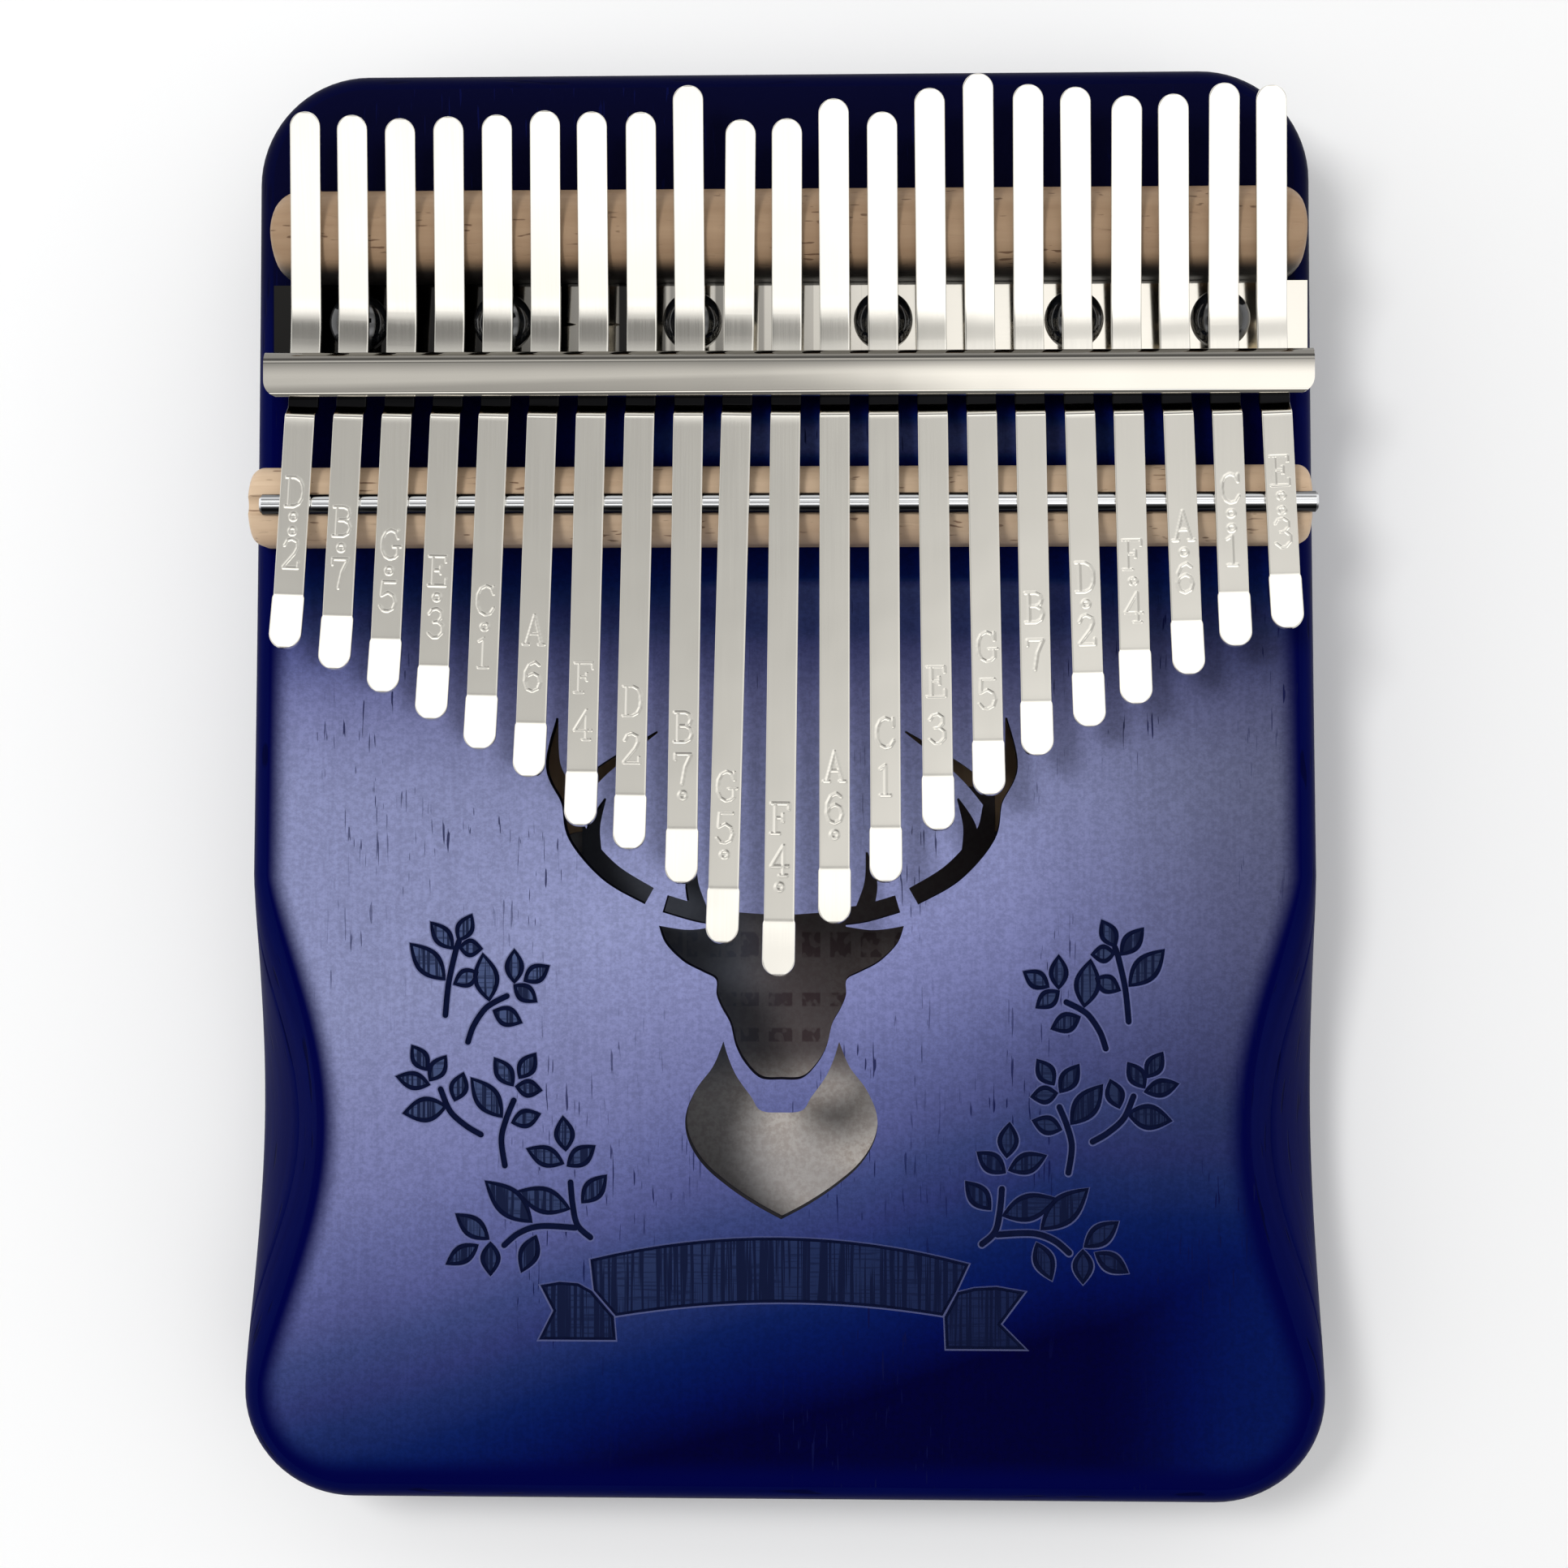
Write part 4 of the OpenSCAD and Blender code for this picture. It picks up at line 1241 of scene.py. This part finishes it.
def make_tine(i):
    path = tine_path(i)
    total = sum(math.hypot(b[0] - a[0], b[1] - a[1]) for a, b in zip(path, path[1:]))
    tip_at = total - TIP_LENGTH / math.cos(math.atan(TIP_RISE))
    run, y, z, dy, dz, total = spaced(path, tip_at - MARKS_FROM, tip_at - MARKS_TO)
    across = np.linspace(-1, 1, COLUMNS + 1)
    quarter = [math.pi / 2 * k / 3 for k in range(1, 4)]
    rows = []
    for k in range(len(run)):
        near, far = run[k], total - run[k]
        if far < TIP_LENGTH + 0.1 + WIDENING:
            share = min(max((TIP_LENGTH + 0.1 - far) / WIDENING, 0), 1)
            half = TINE_WIDTH / 2 + (TIP_WIDTH - TINE_WIDTH) / 2 * share
            half = corner_half_width(far, half, TIP_CORNER)
        else:
            half = corner_half_width(near, TINE_WIDTH / 2, TAIL_CORNER)
        near_end = min(near, far)
        lower = EDGE - math.sqrt(max(EDGE ** 2 - (EDGE - near_end) ** 2, 0)) if near_end < EDGE else 0
        half = max(half, END_HALF)
        level = THICKNESS / 2 - lower
        edge = min(EDGE, level)
        row = [(c * (half - edge), level) for c in across]
        u, v = half - edge, level - edge
        row += [(u + edge * math.sin(a), v + edge * math.cos(a)) for a in quarter]
        row += [(u + edge * math.cos(a), -v - edge * math.sin(a)) for a in [0] + quarter]
        row += [(-u - edge * math.sin(a), -v - edge * math.cos(a)) for a in quarter]
        row += [(-u - edge * math.cos(a), v + edge * math.sin(a)) for a in [0] + quarter[:2]]
        rows.append([(x, k, h) for x, h in row])
    size = len(rows[0])
    flat = np.array([p for r in rows for p in r])
    index = flat[:, 1].astype(int)
    x, h = flat[:, 0], flat[:, 2]
    h = h - engraving(i, x, run[index] - tip_at, h)
    # The path runs towards -Y, so its upward normal is (dz, -dy)
    py = y[index] + dz[index] * h
    pz = z[index] - dy[index] * h
    turn = math.radians(TURNS[i])
    px = HARDWARE_X + (i - (COUNT - 1) / 2) * PITCH + x * math.cos(turn) - (py - TURN_Y) * math.sin(turn)
    py = TURN_Y + x * math.sin(turn) + (py - TURN_Y) * math.cos(turn)
    points = np.stack([px, py, pz + BODY_HEIGHT], axis=1)
    faces = [f[::-1] for f in ring_faces(len(run), size)]
    tine = add_mesh(f"kalimba_tine_{i + 1}", points.tolist(), faces, [tine_paint])
    soften(tine, 40)
    return tine


# Strokes of the note marks, as polylines in mm on a glyph 4.2 high; y is up
STEM = [(-0.8, 0), (-0.8, 4.2)]
CROSSBAR = [[(-0.7, 0), (-0.7, 4.2)], [(-0.7, 2.2), (0.4, 2.2)], [(0.4, 2.7), (0.4, 1.7)]]
BOW = [(1.1, 4.1), (1.1, 3), (0.7, 3.9), (0, 4.2), (-0.7, 3.8), (-1.1, 3), (-1.2, 2.1), (-1.1, 1.2),
       (-0.7, 0.4), (0, 0), (0.7, 0.2)]
GLYPHS = {
    "A": [[(-1.1, 0), (0, 4.2), (1.1, 0)], [(-0.7, 1.5), (0.7, 1.5)], [(-1.5, 0), (-0.7, 0)],
          [(0.7, 0), (1.5, 0)]],
    "B": [STEM, [(-1.3, 4.2), (0.2, 4.2), (0.8, 3.9), (1, 3.2), (0.8, 2.6), (0.2, 2.3), (-0.8, 2.3)],
          [(0.2, 2.3), (0.9, 1.9), (1.2, 1.2), (0.9, 0.4), (0.2, 0), (-1.3, 0)]],
    "C": [BOW + [(1.2, 1)]],
    "D": [STEM, [(-1.3, 4.2), (0, 4.2), (0.7, 3.8), (1.1, 3), (1.2, 2.1), (1.1, 1.2), (0.7, 0.4), (0, 0),
                 (-1.3, 0)]],
    "E": CROSSBAR + [[(-1.3, 4.2), (1.1, 4.2), (1.1, 3.4)], [(-1.3, 0), (1.2, 0), (1.2, 0.9)]],
    "F": CROSSBAR + [[(-1.3, 4.2), (1.2, 4.2), (1.2, 3.4)], [(-1.3, 0), (-0.1, 0)]],
    "G": [BOW + [(1.1, 0.6), (1.1, 1.8)], [(0.4, 1.8), (1.5, 1.8)]],
    "1": [[(0, 0), (0, 4.2), (-0.7, 3.7)], [(-0.7, 0), (0.7, 0)]],
    "2": [[(-1, 3.2), (-0.6, 4), (0, 4.2), (0.8, 3.8), (0.9, 3), (0.5, 2.1), (-1, 0.2), (-1, 0), (1.1, 0),
           (1.1, 0.8)]],
    "3": [[(-1, 3.4), (-0.6, 4), (0.1, 4.2), (0.8, 3.7), (0.8, 2.9), (0.3, 2.3), (-0.3, 2.2)],
          [(0.3, 2.3), (1, 1.7), (1, 0.8), (0.4, 0.1), (-0.3, 0), (-1, 0.6)]],
    "4": [[(0.5, 0), (0.5, 4.2), (-1.2, 1.3), (1.2, 1.3)], [(0, 0), (1, 0)]],
    "5": [[(1, 4.2), (-0.8, 4.2), (-0.9, 2.2), (0, 2.7), (0.8, 2.2), (1.1, 1.3), (0.8, 0.4), (0.1, 0),
           (-0.6, 0.1), (-1.1, 0.7)]],
    "6": [[(0.9, 3.7), (0.3, 4.2), (-0.5, 3.8), (-1, 2.8), (-1.1, 1.4), (-0.7, 0.3), (0, 0), (0.8, 0.4),
           (1.1, 1.3), (0.8, 2.2), (0.1, 2.6), (-0.7, 2.2), (-1.1, 1.4)]],
    "7": [[(-1.1, 3.4), (-1.1, 4.2), (1.1, 4.2), (0.3, 2.4), (-0.1, 0)]],
}
# Each tine's letter, digit and octave: rings between the two, or one ring below for -1
NOTES = [
    ("D", "2", 2), ("B", "7", 1), ("G", "5", 1), ("E", "3", 1), ("C", "1", 1), ("A", "6", 0),
    ("F", "4", 0), ("D", "2", 0), ("B", "7", -1), ("G", "5", -1), ("F", "4", -1), ("A", "6", -1),
    ("C", "1", 0), ("E", "3", 0), ("G", "5", 0), ("B", "7", 0), ("D", "2", 1), ("F", "4", 1),
    ("A", "6", 1), ("C", "1", 2), ("E", "3", 2),
]
MARK_DEPTH, MARK_HALF, MARK_RING = 0.036, 0.11, 0.5
# Heights above the tip's start: of the digit's foot, the letter's foot and the rings' middles
LAYOUT = {0: (4.4, 11.1, []), -1: (6.2, 12.1, [4.6]), 1: (3.9, 11.4, [9.7]), 2: (3.8, 12.7, [9.1, 11.2])}


def strokes_of(i):
    """All engraved segments of a tine, as pairs of points across and above the tip's start."""
    letter, digit, octave = NOTES[i]
    digit_at, letter_at, rings = LAYOUT[octave]
    lines = [[(x, y + digit_at) for x, y in line] for line in GLYPHS[digit]]
    lines += [[(x, y + letter_at) for x, y in line] for line in GLYPHS[letter]]
    for at in rings:
        mark = circle(0, at, MARK_RING, 16)
        lines.append(mark + mark[:1])
    return [(a, b) for line in lines for a, b in zip(line, line[1:])]


def engraving(i, x, along, h):
    """Depth of the note marks at points across and along the tine's top."""
    depth = np.zeros_like(x)
    top = (h > THICKNESS / 2 - 0.001) & (along > -18) & (along < -2.5)
    px, py = x[top], -along[top]
    away = np.full(px.shape, 9.0)
    for (ax, ay), (bx, by) in strokes_of(i):
        dx, dy = bx - ax, by - ay
        t = np.clip(((px - ax) * dx + (py - ay) * dy) / (dx * dx + dy * dy), 0, 1)
        away = np.minimum(away, np.hypot(px - ax - t * dx, py - ay - t * dy))
    u = np.clip((away - MARK_HALF) / MARK_HALF, 0, 1)
    depth[top] = MARK_DEPTH * (1 - u * u * (3 - 2 * u))
    return depth


for i in range(COUNT):
    tine = make_tine(i)
    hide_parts(f"tine_tail_{i + 1}", f"tine_blade_{i + 1}")
    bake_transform(tine)


# ---- Floor, light and camera

def make_floor():
    half, steps = 900, 12
    points, faces = [], []
    for a in range(steps + 1):
        for b in range(steps + 1):
            points.append((-half + 2 * half * a / steps, -half + 2 * half * b / steps, 0))
    for a in range(steps):
        for b in range(steps):
            k = a * (steps + 1) + b
            faces.append((k, k + steps + 1, k + steps + 2, k + 1))
    floor = add_mesh("pale_floor", points, faces, [floor_material()])
    floor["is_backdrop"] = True


make_floor()

world = bpy.data.worlds.new("studio")
bpy.context.scene.world = world
n = Nodes(world, "Generated")
FOOT_SKY, HEAD_SKY = -0.6, 0.7
STRENGTH = 2.0      # the sky's colours are kept below 1, so they are divided by this


def sky(stops):
    """Brightness along the sky from the foot side to the head side of straight up."""
    share = n.ramp(n.y, FOOT_SKY, HEAD_SKY, smooth=False)
    span = HEAD_SKY - FOOT_SKY
    return n.colours(share, [((at - FOOT_SKY) / span, (v / STRENGTH,) * 3) for at, v in stops])


left_sky = sky([(-0.6, 0.15), (-0.45, 0.4), (-0.36, 1.2), (-0.27, 1.6), (-0.22, 1.3), (-0.12, 0.2),
                (0.03, 0.26), (0.09, 0.44), (0.18, 0.84), (0.26, 0.6), (0.34, 0.45), (0.4, 0.6),
                (0.45, 1.6), (0.58, 1.5), (0.66, 0.3)])
right_sky = sky([(-0.6, 0.15), (-0.45, 0.5), (-0.36, 1.6), (-0.27, 1.8), (-0.16, 1.6), (-0.06, 0.85),
                 (0.03, 0.9), (0.09, 1.3), (0.14, 1.3), (0.22, 1.04), (0.34, 0.68), (0.4, 0.8), (0.45, 1.6),
                 (0.58, 1.5), (0.66, 0.3)])
over = n.mix(n.ramp(n.x, -0.04, 0.05), left_sky, right_sky)
aside = n.ramp(n.math("ABSOLUTE", n.x), 0.35, 0.6)
over = n.mix(aside, over, (0.36, 0.36, 0.36))
low = n.times(n.ramp(n.z, 0.3, 0.6, 1.0, 0.0), n.ramp(n.y, -0.5, -0.3))
low = n.most(low, n.ramp(n.z, 0.05, 0.14, 1.0, 0.0))
over = n.mix(low, over, (0.5, 0.5, 0.5))
background = n.tree.nodes["Background"]
n.put(over, background.inputs["Color"])
n.put(STRENGTH, background.inputs["Strength"])


def area_light(name, location, target, size_x, size_y, watts):
    data = bpy.data.lights.new(name, "AREA")
    data.shape = "RECTANGLE"
    data.size, data.size_y = size_x, size_y
    data.energy = watts
    light = bpy.data.objects.new(name, data)
    bpy.context.scene.collection.objects.link(light)
    light.location = location
    light.rotation_euler = (Vector(target) - Vector(location)).to_track_quat("-Z", "Y").to_euler()
    light.visible_glossy = False


area_light("soft_key", (-0.2, 0.13, 0.85), (0, 0, 0.03), 0.16, 0.16, 3)

# The camera stands a little right of the middle and leans back towards it
CAMERA_PLACE, CAMERA_LEAN = (0.0157, 0.0004, 0.485), math.atan2(0.0153, 0.45)
camera_data = bpy.data.cameras.new("camera")
camera_data.lens = 71.2
camera_data.sensor_width = 36
camera = bpy.data.objects.new("camera", camera_data)
bpy.context.scene.collection.objects.link(camera)
camera.location = CAMERA_PLACE
camera.rotation_euler = (0, CAMERA_LEAN, 0)
bpy.context.scene.camera = camera
bpy.context.scene.view_settings.view_transform = "Standard"

low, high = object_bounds()
